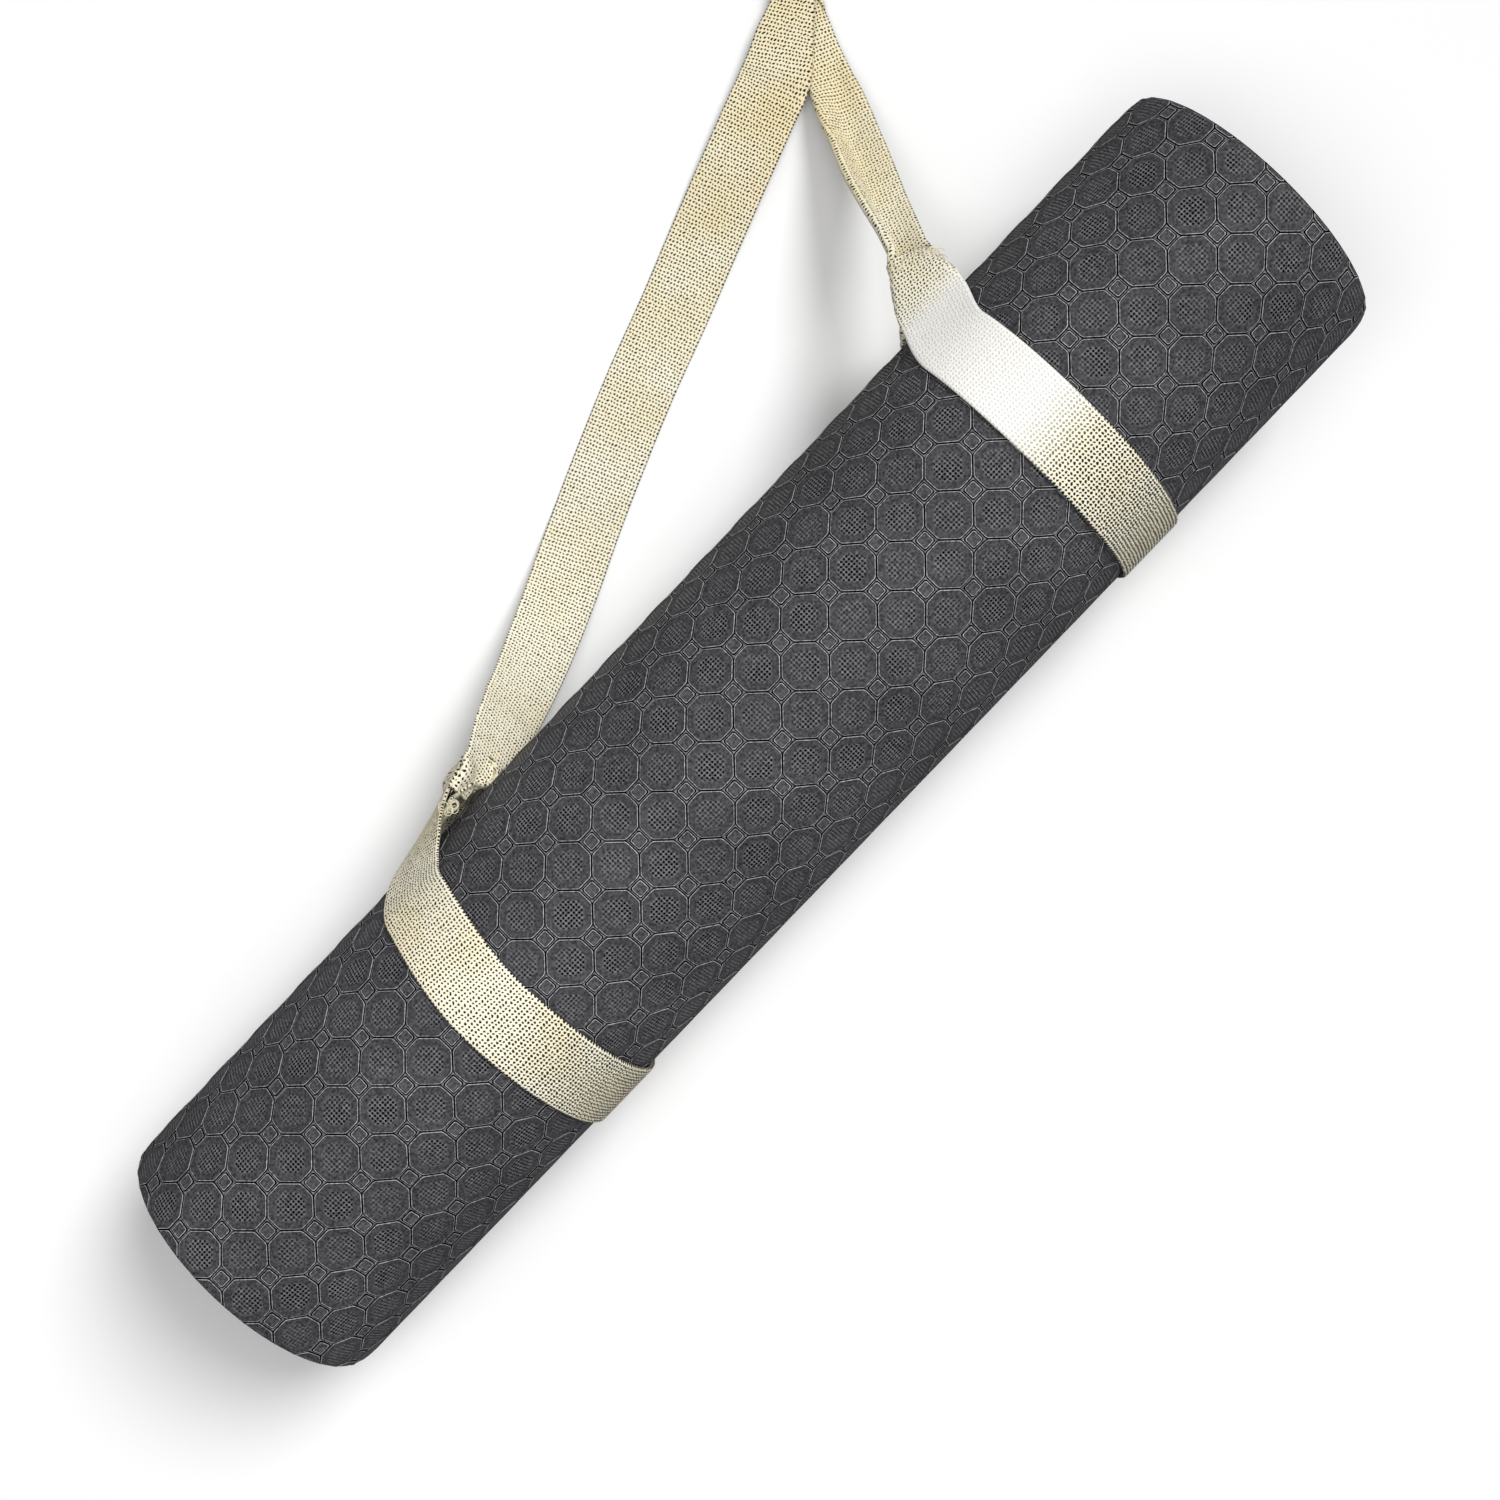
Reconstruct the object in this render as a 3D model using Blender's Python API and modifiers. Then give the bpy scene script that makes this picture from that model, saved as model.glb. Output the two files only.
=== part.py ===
"""A rolled yoga mat carried in a webbing strap.

The mat is one long sheet of foam wound on itself. The strap is one length of webbing: each end is
folded back and sewn into an eye, the webbing passes through its own eye, and so makes a slip noose
round the roll. The free stretch between the two nooses is what goes over a shoulder.

The roll's axis is X and lies level. The strap comes away on the +Y side and rests on the ground.
Everything is in metres. Angles round the roll are measured from +Y towards +Z.
"""

import math

import bmesh
import bpy
import numpy as np

# The foam sheet
sheet_length = 1.830
sheet_width = 0.610
sheet_thickness = 0.006
wrap_gap = 0.0007
hollow_core_radius = 0.0138
outer_edge_angle = math.radians(188)
facets_per_turn = 48

# The webbing
webbing_width = 0.0315
webbing_thickness = 0.0020
edge_easing = 0.0006
crease_angle = math.radians(35)
rope_radius = 0.0045
folded_width = 0.0160
folded_thickness = 0.0046

# Clearances
touch_gap = 0.0003
layer_gap = 0.0004
pressed_flat_depth = 0.0007
cutter_overrun = 0.010

# The nooses: where each lies along the roll, and where its eye lies
lower_noose_x = -0.1415
lower_eye_x = -0.1085
upper_noose_x = 0.1720
upper_eye_x = 0.1820

# The sewn eye
eye_angle = math.radians(5)
eye_bore_radius = 0.0050
eye_width = 0.0140
eye_mouth_gap = 0.0005
sewn_length = 0.026
skew_length = 0.062
gather_length = 0.040
loop_step_angle = math.radians(15)
tail_bridge_steps = 4

# The webbing that comes up from under the roll and turns into the eye
turn_radius = 0.0070
turn_steps = 5
spread_start = 0.008
spread_length = 0.040
settle_length = 0.030
spread_steps = 11

# The thread of the bar tack
thread_radius = 0.0005
tack_width = 0.0200
tack_height = 0.0050
tack_zigzags = 7
tack_inset = 0.0100

# The carrying stretch
apex_x = 0.268
apex_reach = 0.222
apex_heading = math.radians(45)
eye_lead = 0.0010
fold_turn_steps = 6
route_steps_between_points = 4

# Columns: along and aside as shares of the straight line from eye to apex, rise as a share of the
# eye's height, lift as a share of the doubled layer's height, then how far the webbing is gathered
# into a rope and how far it is folded in two
long_route_shares = (
    (0.000, 0.000, 1.00, 0.0, 1.00, 0.0),
    (0.048, -0.002, 0.86, 0.0, 0.70, 0.0),
    (0.117, 0.000, 0.42, 0.0, 0.20, 0.0),
    (0.197, -0.001, 0.10, 0.0, 0.00, 0.0),
    (0.285, 0.001, 0.00, 0.0, 0.00, 0.0),
    (0.389, 0.002, 0.00, 0.0, 0.00, 0.0),
    (0.586, -0.007, 0.00, 0.0, 0.00, 0.0),
    (0.740, -0.014, 0.00, 0.2, 0.00, 0.0),
    (0.830, -0.016, 0.00, 1.0, 0.00, 0.0),
    (0.890, -0.014, 0.00, 1.1, 0.00, 0.2),
    (0.962, -0.005, 0.00, 1.0, 0.00, 1.0),
    (1.000, 0.000, 0.00, 1.0, 0.00, 1.0),
)
short_route_shares = (
    (0.000, 0.000, 0.00, 0.0, 0.00, 1.0),
    (0.096, -0.034, 0.00, 0.0, 0.00, 1.0),
    (0.220, -0.032, 0.00, 0.0, 0.05, 0.8),
    (0.359, -0.027, 0.02, 0.0, 0.10, 0.7),
    (0.498, -0.038, 0.13, 0.0, 0.15, 0.6),
    (0.634, -0.039, 0.34, 0.0, 0.30, 0.5),
    (0.760, -0.031, 0.62, 0.0, 0.55, 0.3),
    (0.864, -0.010, 0.88, 0.0, 0.85, 0.1),
    (0.940, 0.018, 0.99, 0.0, 1.00, 0.0),
    (1.000, 0.000, 1.00, 0.0, 1.00, 0.0),
)

# Colours, linear
foam_colour = (0.047, 0.047, 0.050, 1.0)
webbing_colour = (0.80, 0.74, 0.53, 1.0)
thread_colour = (0.86, 0.84, 0.76, 1.0)

# What follows from the sizes
wrap_pitch = sheet_thickness + wrap_gap
half_sheet = sheet_thickness / 2
half_webbing = webbing_thickness / 2
first_wrap_radius = hollow_core_radius + half_sheet
last_wrap_radius = math.sqrt(first_wrap_radius ** 2 + sheet_length * wrap_pitch / math.pi)
total_turns = (last_wrap_radius - first_wrap_radius) / wrap_pitch
facet_angle = 2 * math.pi / facets_per_turn
eye_ring_radius = eye_bore_radius + half_webbing
along_x = np.array((1.0, 0.0, 0.0))
straight_up = np.array((0.0, 0.0, 1.0))


def radial(angle):
    """The direction away from the roll's axis at an angle round the roll."""
    return np.array((0.0, math.cos(angle), math.sin(angle)))


def roll_radius(angle):
    """Outer radius of the rolled mat at an angle between one turn before its outer edge and it."""
    turned_back = (outer_edge_angle - angle) / (2 * math.pi)
    return last_wrap_radius + half_sheet - wrap_pitch * turned_back


def smooth(value):
    """Rises from 0 to 1 with level ends."""
    held = min(max(value, 0.0), 1.0)
    return held * held * (3 - 2 * held)


def unit(vector):
    """The same direction at length one."""
    return vector / np.linalg.norm(vector)


eye_ring_distance = roll_radius(eye_angle) + touch_gap + half_webbing + eye_ring_radius
hinge_point = eye_ring_distance * radial(eye_angle)
ground_angle = math.radians(-90)
ground_depth = roll_radius(ground_angle) + touch_gap + webbing_thickness - pressed_flat_depth


def new_collection(name):
    collection = bpy.data.collections.new(name)
    bpy.context.scene.collection.children.link(collection)
    return collection


def new_material(name, colour, roughness, sheen):
    material = bpy.data.materials.new(name)
    material.use_nodes = True
    shader = material.node_tree.nodes["Principled BSDF"]
    shader.inputs["Base Color"].default_value = colour
    shader.inputs["Roughness"].default_value = roughness
    shader.inputs["Metallic"].default_value = 0.0
    shader.inputs["Sheen Weight"].default_value = sheen
    material.diffuse_color = colour
    return material


def new_frame(name, place, parent, collection):
    """An empty that pieces hang from."""
    frame = bpy.data.objects.new(name, None)
    frame.location = place
    frame.parent = parent
    collection.objects.link(frame)
    return frame


def add_piece(name, mesh, material, parent, collection):
    """One named piece of its own material, hung from its moving frame."""
    piece = bpy.data.objects.new(name, mesh)
    piece.data.materials.clear()
    piece.data.materials.append(material)
    piece.parent = parent
    collection.objects.link(piece)
    return piece


def spiral_points():
    """Points along the middle of the sheet's thickness, from its outer edge inwards."""
    points = []
    facets = int(total_turns * facets_per_turn)
    for facet in range(facets + 1):
        angle = outer_edge_angle - facet * facet_angle
        radius = last_wrap_radius - wrap_pitch * facet / facets_per_turn
        points.append(radius * radial(angle))
    points.append(first_wrap_radius * radial(outer_edge_angle - total_turns * 2 * math.pi))
    return points


def least_wrap_gap():
    """The least distance between one wrap's outer face and the next wrap's inner face."""
    middle = np.array(spiral_points())
    radii = np.linalg.norm(middle, axis=1)
    outward = middle / radii[:, None]
    inner_face = middle - half_sheet * outward
    outer_face = middle + half_sheet * outward
    least = sheet_width
    for index in range(facets_per_turn, len(middle) - 1):
        start = inner_face[index - facets_per_turn]
        stretch = inner_face[index - facets_per_turn + 1] - start
        share = np.dot(outer_face[index] - start, stretch) / np.dot(stretch, stretch)
        nearest = start + min(max(share, 0.0), 1.0) * stretch
        least = min(least, float(np.linalg.norm(outer_face[index] - nearest)))
    return least


def build_mat(material, parent, collection):
    """The sheet: a spiral line drawn out along the roll, then given its thickness."""
    shape = bmesh.new()
    start = [shape.verts.new(point - along_x * sheet_width / 2) for point in spiral_points()]
    line = [shape.edges.new(pair) for pair in zip(start, start[1:])]
    drawn = bmesh.ops.extrude_edge_only(shape, edges=line)
    far_side = [item for item in drawn["geom"] if isinstance(item, bmesh.types.BMVert)]
    bmesh.ops.translate(shape, verts=far_side, vec=along_x * sheet_width)
    bmesh.ops.recalc_face_normals(shape, faces=shape.faces)
    mesh = bpy.data.meshes.new("mat_sheet")
    shape.to_mesh(mesh)
    shape.free()
    piece = add_piece("mat_sheet", mesh, material, parent, collection)
    wall = piece.modifiers.new("thickness", "SOLIDIFY")
    wall.thickness = sheet_thickness
    wall.offset = 0.0
    wall.use_even_offset = True
    return piece


class Station:
    """One section across the webbing: its middle, its outward face and its size."""

    def __init__(self, middle, outward, half_width, half_thickness, rope_share, across=None):
        self.middle = np.array(middle)
        self.outward = outward
        self.across = across
        self.half_width = half_width
        self.half_thickness = half_thickness
        self.rope_share = rope_share


def face_stations(stations):
    """Squares each section up to the way the webbing runs there."""
    for index, station in enumerate(stations):
        if station.across is not None:
            continue
        before = stations[max(index - 1, 0)].middle
        after = stations[min(index + 1, len(stations) - 1)].middle
        heading = unit(after - before)
        station.across = unit(np.cross(heading, station.outward))
        station.outward = unit(np.cross(station.across, heading))


def section_corners(station):
    """Twelve corners: three at each corner of the flat webbing, even round a rope."""
    corners = []
    soft = min(edge_easing, station.half_thickness)
    bevel = soft * (1 - math.sqrt(0.5))
    for quarter in range(4):
        side = 1 if quarter in (0, 3) else -1
        face = 1 if quarter in (0, 1) else -1
        flat = [
            (station.half_width, station.half_thickness - soft),
            (station.half_width - bevel, station.half_thickness - bevel),
            (station.half_width - soft, station.half_thickness),
        ]
        if quarter in (1, 3):
            flat.reverse()
        for third, (wide, thick) in enumerate(flat):
            turn = (quarter * 3 + third + 0.5) * math.pi / 6
            wide_round = station.half_width * math.cos(turn)
            thick_round = station.half_thickness * math.sin(turn)
            wide_now = side * wide * (1 - station.rope_share) + wide_round * station.rope_share
            thick_now = face * thick * (1 - station.rope_share) + thick_round * station.rope_share
            corners.append(station.middle + wide_now * station.across + thick_now * station.outward)
    return corners


def loft(name, stations, origin):
    """A closed skin over a run of sections, with its two ends closed flat."""
    face_stations(stations)
    shape = bmesh.new()
    rings = [[shape.verts.new(corner - origin) for corner in section_corners(each)] for each in stations]
    for ring, following in zip(rings, rings[1:]):
        for index in range(len(ring)):
            turn = (index + 1) % len(ring)
            shape.faces.new((ring[index], ring[turn], following[turn], following[index]))
    shape.faces.new(rings[0])
    shape.faces.new(rings[-1])
    bmesh.ops.recalc_face_normals(shape, faces=shape.faces)
    mesh = bpy.data.meshes.new(name)
    shape.to_mesh(mesh)
    shape.free()
    mesh.shade_smooth()
    mesh.set_sharp_from_angle(angle=crease_angle)
    return mesh


def band_radius(angle):
    """Middle of the webbing where it lies on the roll."""
    return roll_radius(angle) + touch_gap + half_webbing


def lip_touch_angle():
    """Where the webbing meets the roll again after it has bridged the sheet's outer edge."""
    lip = band_radius(outer_edge_angle) * radial(outer_edge_angle)
    best_angle = outer_edge_angle
    best_lean = -math.inf
    for facet in range(1, facets_per_turn // 4):
        angle = outer_edge_angle + facet * facet_angle
        place = band_radius(angle - 2 * math.pi) * radial(angle)
        lean = np.dot(unit(place - lip), radial(outer_edge_angle))
        if lean > best_lean:
            best_lean = lean
            best_angle = angle
    return best_angle - 2 * math.pi


def eye_shift(noose_x, eye_x, distance):
    """The webbing's place along the roll at a distance from the eye."""
    return eye_x + (noose_x - eye_x) * smooth(distance / skew_length)


def gathered_half_width(distance):
    """Half of the webbing's width, drawn in towards the eye."""
    return (eye_width + (webbing_width - eye_width) * smooth(distance / gather_length)) / 2


def turned_in_stations(noose_x, eye_x):
    """From the eye's mouth, round a tight turn, down beside the roll and out to full width."""
    mouth_x = eye_x - eye_width / 2 - eye_mouth_gap
    turn_x = mouth_x - turn_radius
    stations = []
    path = [(mouth_x, 0.0)]
    for step in range(1, turn_steps + 1):
        turned = step / turn_steps * math.pi / 2
        path.append((mouth_x - turn_radius * math.sin(turned), turn_radius * (1 - math.cos(turned))))
    drop = spread_start + spread_length
    for step in range(1, spread_steps + 1):
        share = step / spread_steps
        path.append((turn_x + (noose_x - turn_x) * smooth(share), turn_radius + drop * share))
    for x, down in path:
        angle = eye_angle - down / eye_ring_distance
        flat = smooth((down - spread_start) / spread_length)
        settled = smooth(down / settle_length)
        half_width = rope_radius + (webbing_width / 2 - rope_radius) * flat
        half_thickness = rope_radius + (half_webbing - rope_radius) * settled
        radius = eye_ring_distance + (band_radius(angle) - eye_ring_distance) * settled
        stations.append(Station(x * along_x + radius * radial(angle), radial(angle),
                                half_width, half_thickness, 1 - flat))
    stations[0].across = unit(np.cross(-along_x, stations[0].outward))
    return stations


def wrapped_stations(noose_x, eye_x, start_angle):
    """Round the roll, bridging the sheet's outer edge, and over the top back to the eye."""
    stations = []
    touch_angle = lip_touch_angle()
    facet = math.ceil((outer_edge_angle - start_angle) / facet_angle)
    while True:
        angle = outer_edge_angle - facet * facet_angle
        if angle < touch_angle - facet_angle / 2:
            break
        stations.append(Station(noose_x * along_x + band_radius(angle) * radial(angle),
                                radial(angle), webbing_width / 2, half_webbing, 0.0, along_x))
        facet += 1
    angle = outer_edge_angle
    while angle > eye_angle:
        distance = band_radius(angle) * (angle - eye_angle)
        place = eye_shift(noose_x, eye_x, distance) * along_x + band_radius(angle) * radial(angle)
        half_width = gathered_half_width(distance)
        stations.append(Station(place, radial(angle), half_width, half_webbing, 0.0, along_x))
        angle -= facet_angle
    return stations


def eye_stations(noose_x, eye_x):
    """Round the eye, then back up over the webbing's own face, where the tail is sewn down."""
    stations = []
    centre = eye_x * along_x + hinge_point
    tail_radius = band_radius(eye_angle) + webbing_thickness + layer_gap
    lean = math.acos((tail_radius - eye_ring_radius) / eye_ring_distance)
    turn = eye_angle + math.pi
    leave = eye_angle + lean + 2 * math.pi
    steps = math.ceil((leave - turn) / loop_step_angle)
    for step in range(steps + 1):
        angle = turn + (leave - turn) * step / steps
        stations.append(Station(centre + eye_ring_radius * radial(angle), -radial(angle),
                                eye_width / 2, half_webbing, 0.0, along_x))
    bridge = eye_ring_distance * math.sin(lean)
    touch_down = eye_angle + lean
    last = stations[-1].middle - eye_x * along_x
    facet = math.floor((outer_edge_angle - touch_down) / facet_angle)
    tail_angle = outer_edge_angle - facet * facet_angle
    lying = band_radius(tail_angle) + webbing_thickness + layer_gap
    landing = lying * radial(tail_angle)
    for step in range(1, tail_bridge_steps):
        share = step / tail_bridge_steps
        distance = bridge * share
        place = last + (landing - last) * share + eye_shift(noose_x, eye_x, distance) * along_x
        stations.append(Station(place, -radial(touch_down), gathered_half_width(distance),
                                half_webbing, 0.0, along_x))
    while lying * (tail_angle - touch_down) < sewn_length:
        lying = band_radius(tail_angle) + webbing_thickness + layer_gap
        distance = bridge + lying * (tail_angle - touch_down)
        place = lying * radial(tail_angle) + eye_shift(noose_x, eye_x, distance) * along_x
        stations.append(Station(place, -radial(tail_angle), gathered_half_width(distance),
                                half_webbing, 0.0, along_x))
        tail_angle += facet_angle
    return stations


def build_noose(name, noose_x, eye_x, material, parent, collection, cutters):
    """One noose with its sewn eye, pressed flat where the roll stands on it."""
    turned_in = turned_in_stations(noose_x, eye_x)
    last = turned_in[-1].middle
    start_angle = math.atan2(last[2], last[1])
    stations = turned_in + wrapped_stations(noose_x, eye_x, start_angle) + eye_stations(noose_x, eye_x)
    piece = add_piece(name, loft(name, stations, 0 * along_x), material, parent, collection)
    cut_ground(piece, noose_x, parent, cutters)
    return piece


def cut_ground(piece, noose_x, parent, cutters):
    """Takes off what the roll's weight would press into the ground."""
    shape = bmesh.new()
    bmesh.ops.create_cube(shape, size=1.0)
    size = (webbing_width + cutter_overrun, last_wrap_radius, cutter_overrun)
    bmesh.ops.scale(shape, verts=shape.verts, vec=size)
    mesh = bpy.data.meshes.new(piece.name + "_ground_cutter")
    shape.to_mesh(mesh)
    shape.free()
    cutter = bpy.data.objects.new(mesh.name, mesh)
    cutter.location = (noose_x, 0.0, -ground_depth - cutter_overrun / 2)
    cutter.parent = parent
    cutter.hide_render = True
    cutter.display_type = "WIRE"
    cutters.objects.link(cutter)
    cut = piece.modifiers.new("pressed flat", "BOOLEAN")
    cut.operation = "DIFFERENCE"
    cut.solver = "EXACT"
    cut.object = cutter


def build_bar_tack(name, noose_x, eye_x, material, parent, collection):
    """The zigzag of thread that holds the tail of an eye down."""
    tail_radius = band_radius(eye_angle) + webbing_thickness + layer_gap
    lean = math.acos((tail_radius - eye_ring_radius) / eye_ring_distance)
    bridge = eye_ring_distance * math.sin(lean)
    thread = bpy.data.curves.new(name, "CURVE")
    thread.dimensions = "3D"
    thread.bevel_depth = thread_radius
    thread.bevel_resolution = 1
    thread.use_fill_caps = True
    spline = thread.splines.new("POLY")
    spline.points.add(tack_zigzags * 2 - 1)
    for index, point in enumerate(spline.points):
        across = tack_width * (index / (len(spline.points) - 1) - 1 / 2)
        along = tack_inset + tack_height * (index % 2)
        angle = eye_angle + lean + along / tail_radius
        over = band_radius(angle) + webbing_thickness + layer_gap + half_webbing + touch_gap + thread_radius
        x = eye_shift(noose_x, eye_x, bridge + along) + across
        place = x * along_x + over * radial(angle)
        point.co = (place[0], place[1], place[2], 1.0)
    return add_piece(name, thread, material, parent, collection)


def route_points(route_shares, start, end, rise, lift):
    """The route's points between two ends, with how the webbing is gathered and folded there."""
    line = end - start
    length = np.hypot(line[0], line[1])
    heading = np.array((line[0], line[1], 0.0)) / length
    aside = np.cross(straight_up, heading)
    points = []
    for along, side, up, doubled, rope, fold in route_shares:
        flat = max(1 - rope - fold, 0.0)
        half_thickness = half_webbing * flat + rope_radius * rope + folded_thickness / 2 * fold
        half_width = webbing_width / 2 * flat + rope_radius * rope + folded_width / 2 * fold
        place = start + length * (along * heading + side * aside)
        place[2] = half_thickness - ground_depth + up * (rise - half_thickness) + doubled * lift
        points.append(np.array((*place, half_width, half_thickness, rope)))
    return points


def smooth_route(points, first_heading, last_heading):
    """A cubic through the points that leaves and arrives along given headings and stays on the ground."""
    knots = np.array(points)
    slopes = np.zeros_like(knots)
    slopes[1:-1] = (knots[2:] - knots[:-2]) / 2
    slopes[0, :3] = np.linalg.norm(knots[1, :3] - knots[0, :3]) * first_heading
    slopes[-1, :3] = np.linalg.norm(knots[-1, :3] - knots[-2, :3]) * last_heading
    run = [knots[0]]
    for index in range(len(knots) - 1):
        for step in range(1, route_steps_between_points + 1):
            t = step / route_steps_between_points
            start_share = 2 * t ** 3 - 3 * t ** 2 + 1
            leave_share = t ** 3 - 2 * t ** 2 + t
            end_share = 3 * t ** 2 - 2 * t ** 3
            arrive_share = t ** 3 - t ** 2
            place = start_share * knots[index] + leave_share * slopes[index]
            place = place + end_share * knots[index + 1] + arrive_share * slopes[index + 1]
            place[3:] = (1 - t) * knots[index, 3:] + t * knots[index + 1, 3:]
            place[2] = max(place[2], place[4] - ground_depth)
            run.append(place)
    return run


def route_stations(run, outward):
    """Sections along a route, with one face of the webbing turned outward."""
    return [Station(each[:3], outward, each[3], each[4], each[5]) for each in run]


def carry_stations():
    """From inside the lower eye, out to the apex, folded back under itself, to the upper eye."""
    apex = np.array((apex_x, apex_reach, 0.0))
    outward = np.array((math.cos(apex_heading), math.sin(apex_heading), 0.0))
    lower_mouth = (lower_eye_x + eye_width / 2 + eye_lead) * along_x + hinge_point
    upper_mouth = (upper_eye_x + eye_width / 2 + eye_lead) * along_x + hinge_point
    inner_end = eye_width / 2 + eye_mouth_gap - touch_gap
    rise = hinge_point[2] + ground_depth
    lift = folded_thickness + layer_gap
    round_size = (rope_radius, rope_radius, 1.0)
    first = Station((lower_eye_x - inner_end) * along_x + hinge_point, straight_up, *round_size)
    last = Station((upper_eye_x - inner_end) * along_x + hinge_point, straight_up * -1, *round_size)
    out_points = route_points(long_route_shares, lower_mouth, apex, rise, lift)
    back_points = route_points(short_route_shares, apex, upper_mouth, rise, lift)
    out = route_stations(smooth_route(out_points, along_x, outward), straight_up)
    back = route_stations(smooth_route(back_points, -outward, -along_x), straight_up * -1)
    turn_centre = (out[-1].middle + back[0].middle) / 2
    turn_half = (out[-1].middle[2] - back[0].middle[2]) / 2
    fold = []
    for step in range(1, fold_turn_steps):
        turned = math.pi * step / fold_turn_steps
        away = math.cos(turned) * straight_up + math.sin(turned) * outward
        fold.append(Station(turn_centre + turn_half * away, away, folded_width / 2, folded_thickness / 2,
                            0.0, np.cross(outward, straight_up)))
    return [first] + out + fold + back + [last]


def build_carry_strap(material, parent, collection):
    """The free stretch, which turns about the line through both eyes. Returns its corners."""
    stations = carry_stations()
    mesh = loft("carry_strap", stations, hinge_point)
    add_piece("carry_strap", mesh, material, parent, collection)
    corners = np.array([corner for each in stations for corner in section_corners(each)])
    lengths = [np.linalg.norm(b.middle - a.middle) for a, b in zip(stations, stations[1:])]
    print("carrying stretch, metres along its middle:", round(sum(lengths), 4))
    return corners


def main():
    """Clears the file and builds every piece."""
    for item in list(bpy.data.objects):
        bpy.data.objects.remove(item, do_unlink=True)
    parts = new_collection("rolled_yoga_mat")
    cutters = new_collection("cutters")
    foam = new_material("charcoal foam", foam_colour, 0.62, 0.0)
    webbing = new_material("natural cotton webbing", webbing_colour, 0.90, 0.3)
    thread = new_material("sewing thread", thread_colour, 0.80, 0.2)

    roll_frame = new_frame("roll_axis", (0.0, 0.0, ground_depth), None, parts)
    noose_slide = new_frame("noose_slide", (0.0, 0.0, 0.0), roll_frame, parts)
    carry_hinge = new_frame("carry_hinge", hinge_point, noose_slide, parts)

    build_mat(foam, roll_frame, parts)
    build_noose("noose_lower", lower_noose_x, lower_eye_x, webbing, noose_slide, parts, cutters)
    build_noose("noose_upper", upper_noose_x, upper_eye_x, webbing, noose_slide, parts, cutters)
    build_bar_tack("bar_tack_lower", lower_noose_x, lower_eye_x, thread, noose_slide, parts)
    build_bar_tack("bar_tack_upper", upper_noose_x, upper_eye_x, thread, noose_slide, parts)
    corners = build_carry_strap(webbing, carry_hinge, parts)

    near_side = -(band_radius(outer_edge_angle) + half_webbing)
    far_side = corners[:, 1].max()
    roll_frame.location.y = -(near_side + far_side) / 2
    bpy.context.view_layer.update()
    print("roll radius at the outer edge, mm:", round((last_wrap_radius + half_sheet) * 1000, 2))
    print("turns of the sheet:", round(total_turns, 2))
    print("least gap between wraps, mm:", round(least_wrap_gap() * 1000, 3))
    print("hinge line through:", [round(value, 5) for value in carry_hinge.matrix_world.translation])
    print("roll axis through:", [round(value, 5) for value in roll_frame.matrix_world.translation])


main()
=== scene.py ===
# A rolled foam exercise mat in a carry strap of cotton webbing, lying on a pale studio floor.
# Lengths are metres. Angles round the roll start at +Y and grow over the top, towards -Y.
import math

import bmesh
import bpy
import numpy as np
from mathutils import Matrix, Vector


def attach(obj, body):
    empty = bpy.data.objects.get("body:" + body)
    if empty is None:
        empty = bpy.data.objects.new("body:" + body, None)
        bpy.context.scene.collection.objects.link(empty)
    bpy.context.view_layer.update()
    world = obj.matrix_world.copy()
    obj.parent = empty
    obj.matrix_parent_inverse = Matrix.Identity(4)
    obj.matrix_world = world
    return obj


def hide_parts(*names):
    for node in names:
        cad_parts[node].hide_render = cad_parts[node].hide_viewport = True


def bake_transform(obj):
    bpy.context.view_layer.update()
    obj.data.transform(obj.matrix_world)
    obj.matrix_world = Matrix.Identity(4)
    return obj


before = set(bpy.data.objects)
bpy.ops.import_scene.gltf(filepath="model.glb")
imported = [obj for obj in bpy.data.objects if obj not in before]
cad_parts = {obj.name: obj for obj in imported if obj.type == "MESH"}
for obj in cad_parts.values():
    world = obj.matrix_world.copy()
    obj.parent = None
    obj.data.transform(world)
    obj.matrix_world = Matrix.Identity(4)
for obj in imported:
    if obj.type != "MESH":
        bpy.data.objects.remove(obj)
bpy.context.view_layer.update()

rollAxis = np.array((0.0, -0.080405, 0.064118))  # the roll lies along X
xWay = np.array((1.0, 0.0, 0.0))
white = (1.0, 1.0, 1.0, 1.0)


def smoothStep(value):  # rises from 0 to 1 with level ends
    held = np.clip(value, 0.0, 1.0)
    return held * held * (3 - 2 * held)


def unitRows(rows):
    return rows / np.linalg.norm(rows, axis=-1, keepdims=True)


def radial(angle):  # away from the roll's axis
    angle = np.asarray(angle, float)
    return np.stack([0 * angle, np.cos(angle), np.sin(angle)], -1)


def linearColour(hexValue):  # sRGB hex to the linear values that the sockets hold
    channels = np.array([int(hexValue[at:at + 2], 16) for at in (1, 3, 5)]) / 255
    straight = np.where(channels <= 0.04045, channels / 12.92, ((channels + 0.055) / 1.055) ** 2.4)
    return (*(float(each) for each in straight), 1.0)


def addNode(tree, kind, settings=(), sockets=()):  # a node with its settings, and its sockets set or linked
    node = tree.nodes.new(kind)
    for name, value in dict(settings).items():
        setattr(node, name, value)
    for socket, value in dict(sockets).items():
        if isinstance(value, bpy.types.NodeSocket):
            tree.links.new(value, node.inputs[socket])
        else:
            node.inputs[socket].default_value = value
    return node


def mathStep(tree, operation, *values):  # one sum in a material, from numbers and sockets
    return addNode(tree, "ShaderNodeMath", {"operation": operation}, dict(enumerate(values))).outputs[0]


def writePlaces(mesh, places):  # a UV map, in metres, from one place for each point
    layer = mesh.uv_layers.new(name="flatPlace")
    corners = np.empty(len(mesh.loops), np.int32)
    mesh.loops.foreach_get("vertex_index", corners)
    layer.uv.foreach_set("vector", places[corners].astype(np.float32).ravel())


def writeValues(mesh, name, values):  # an attribute with one value for each point
    mesh.attributes.new(name, "FLOAT", "POINT").data.foreach_set("value", values.astype(np.float32))


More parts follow.
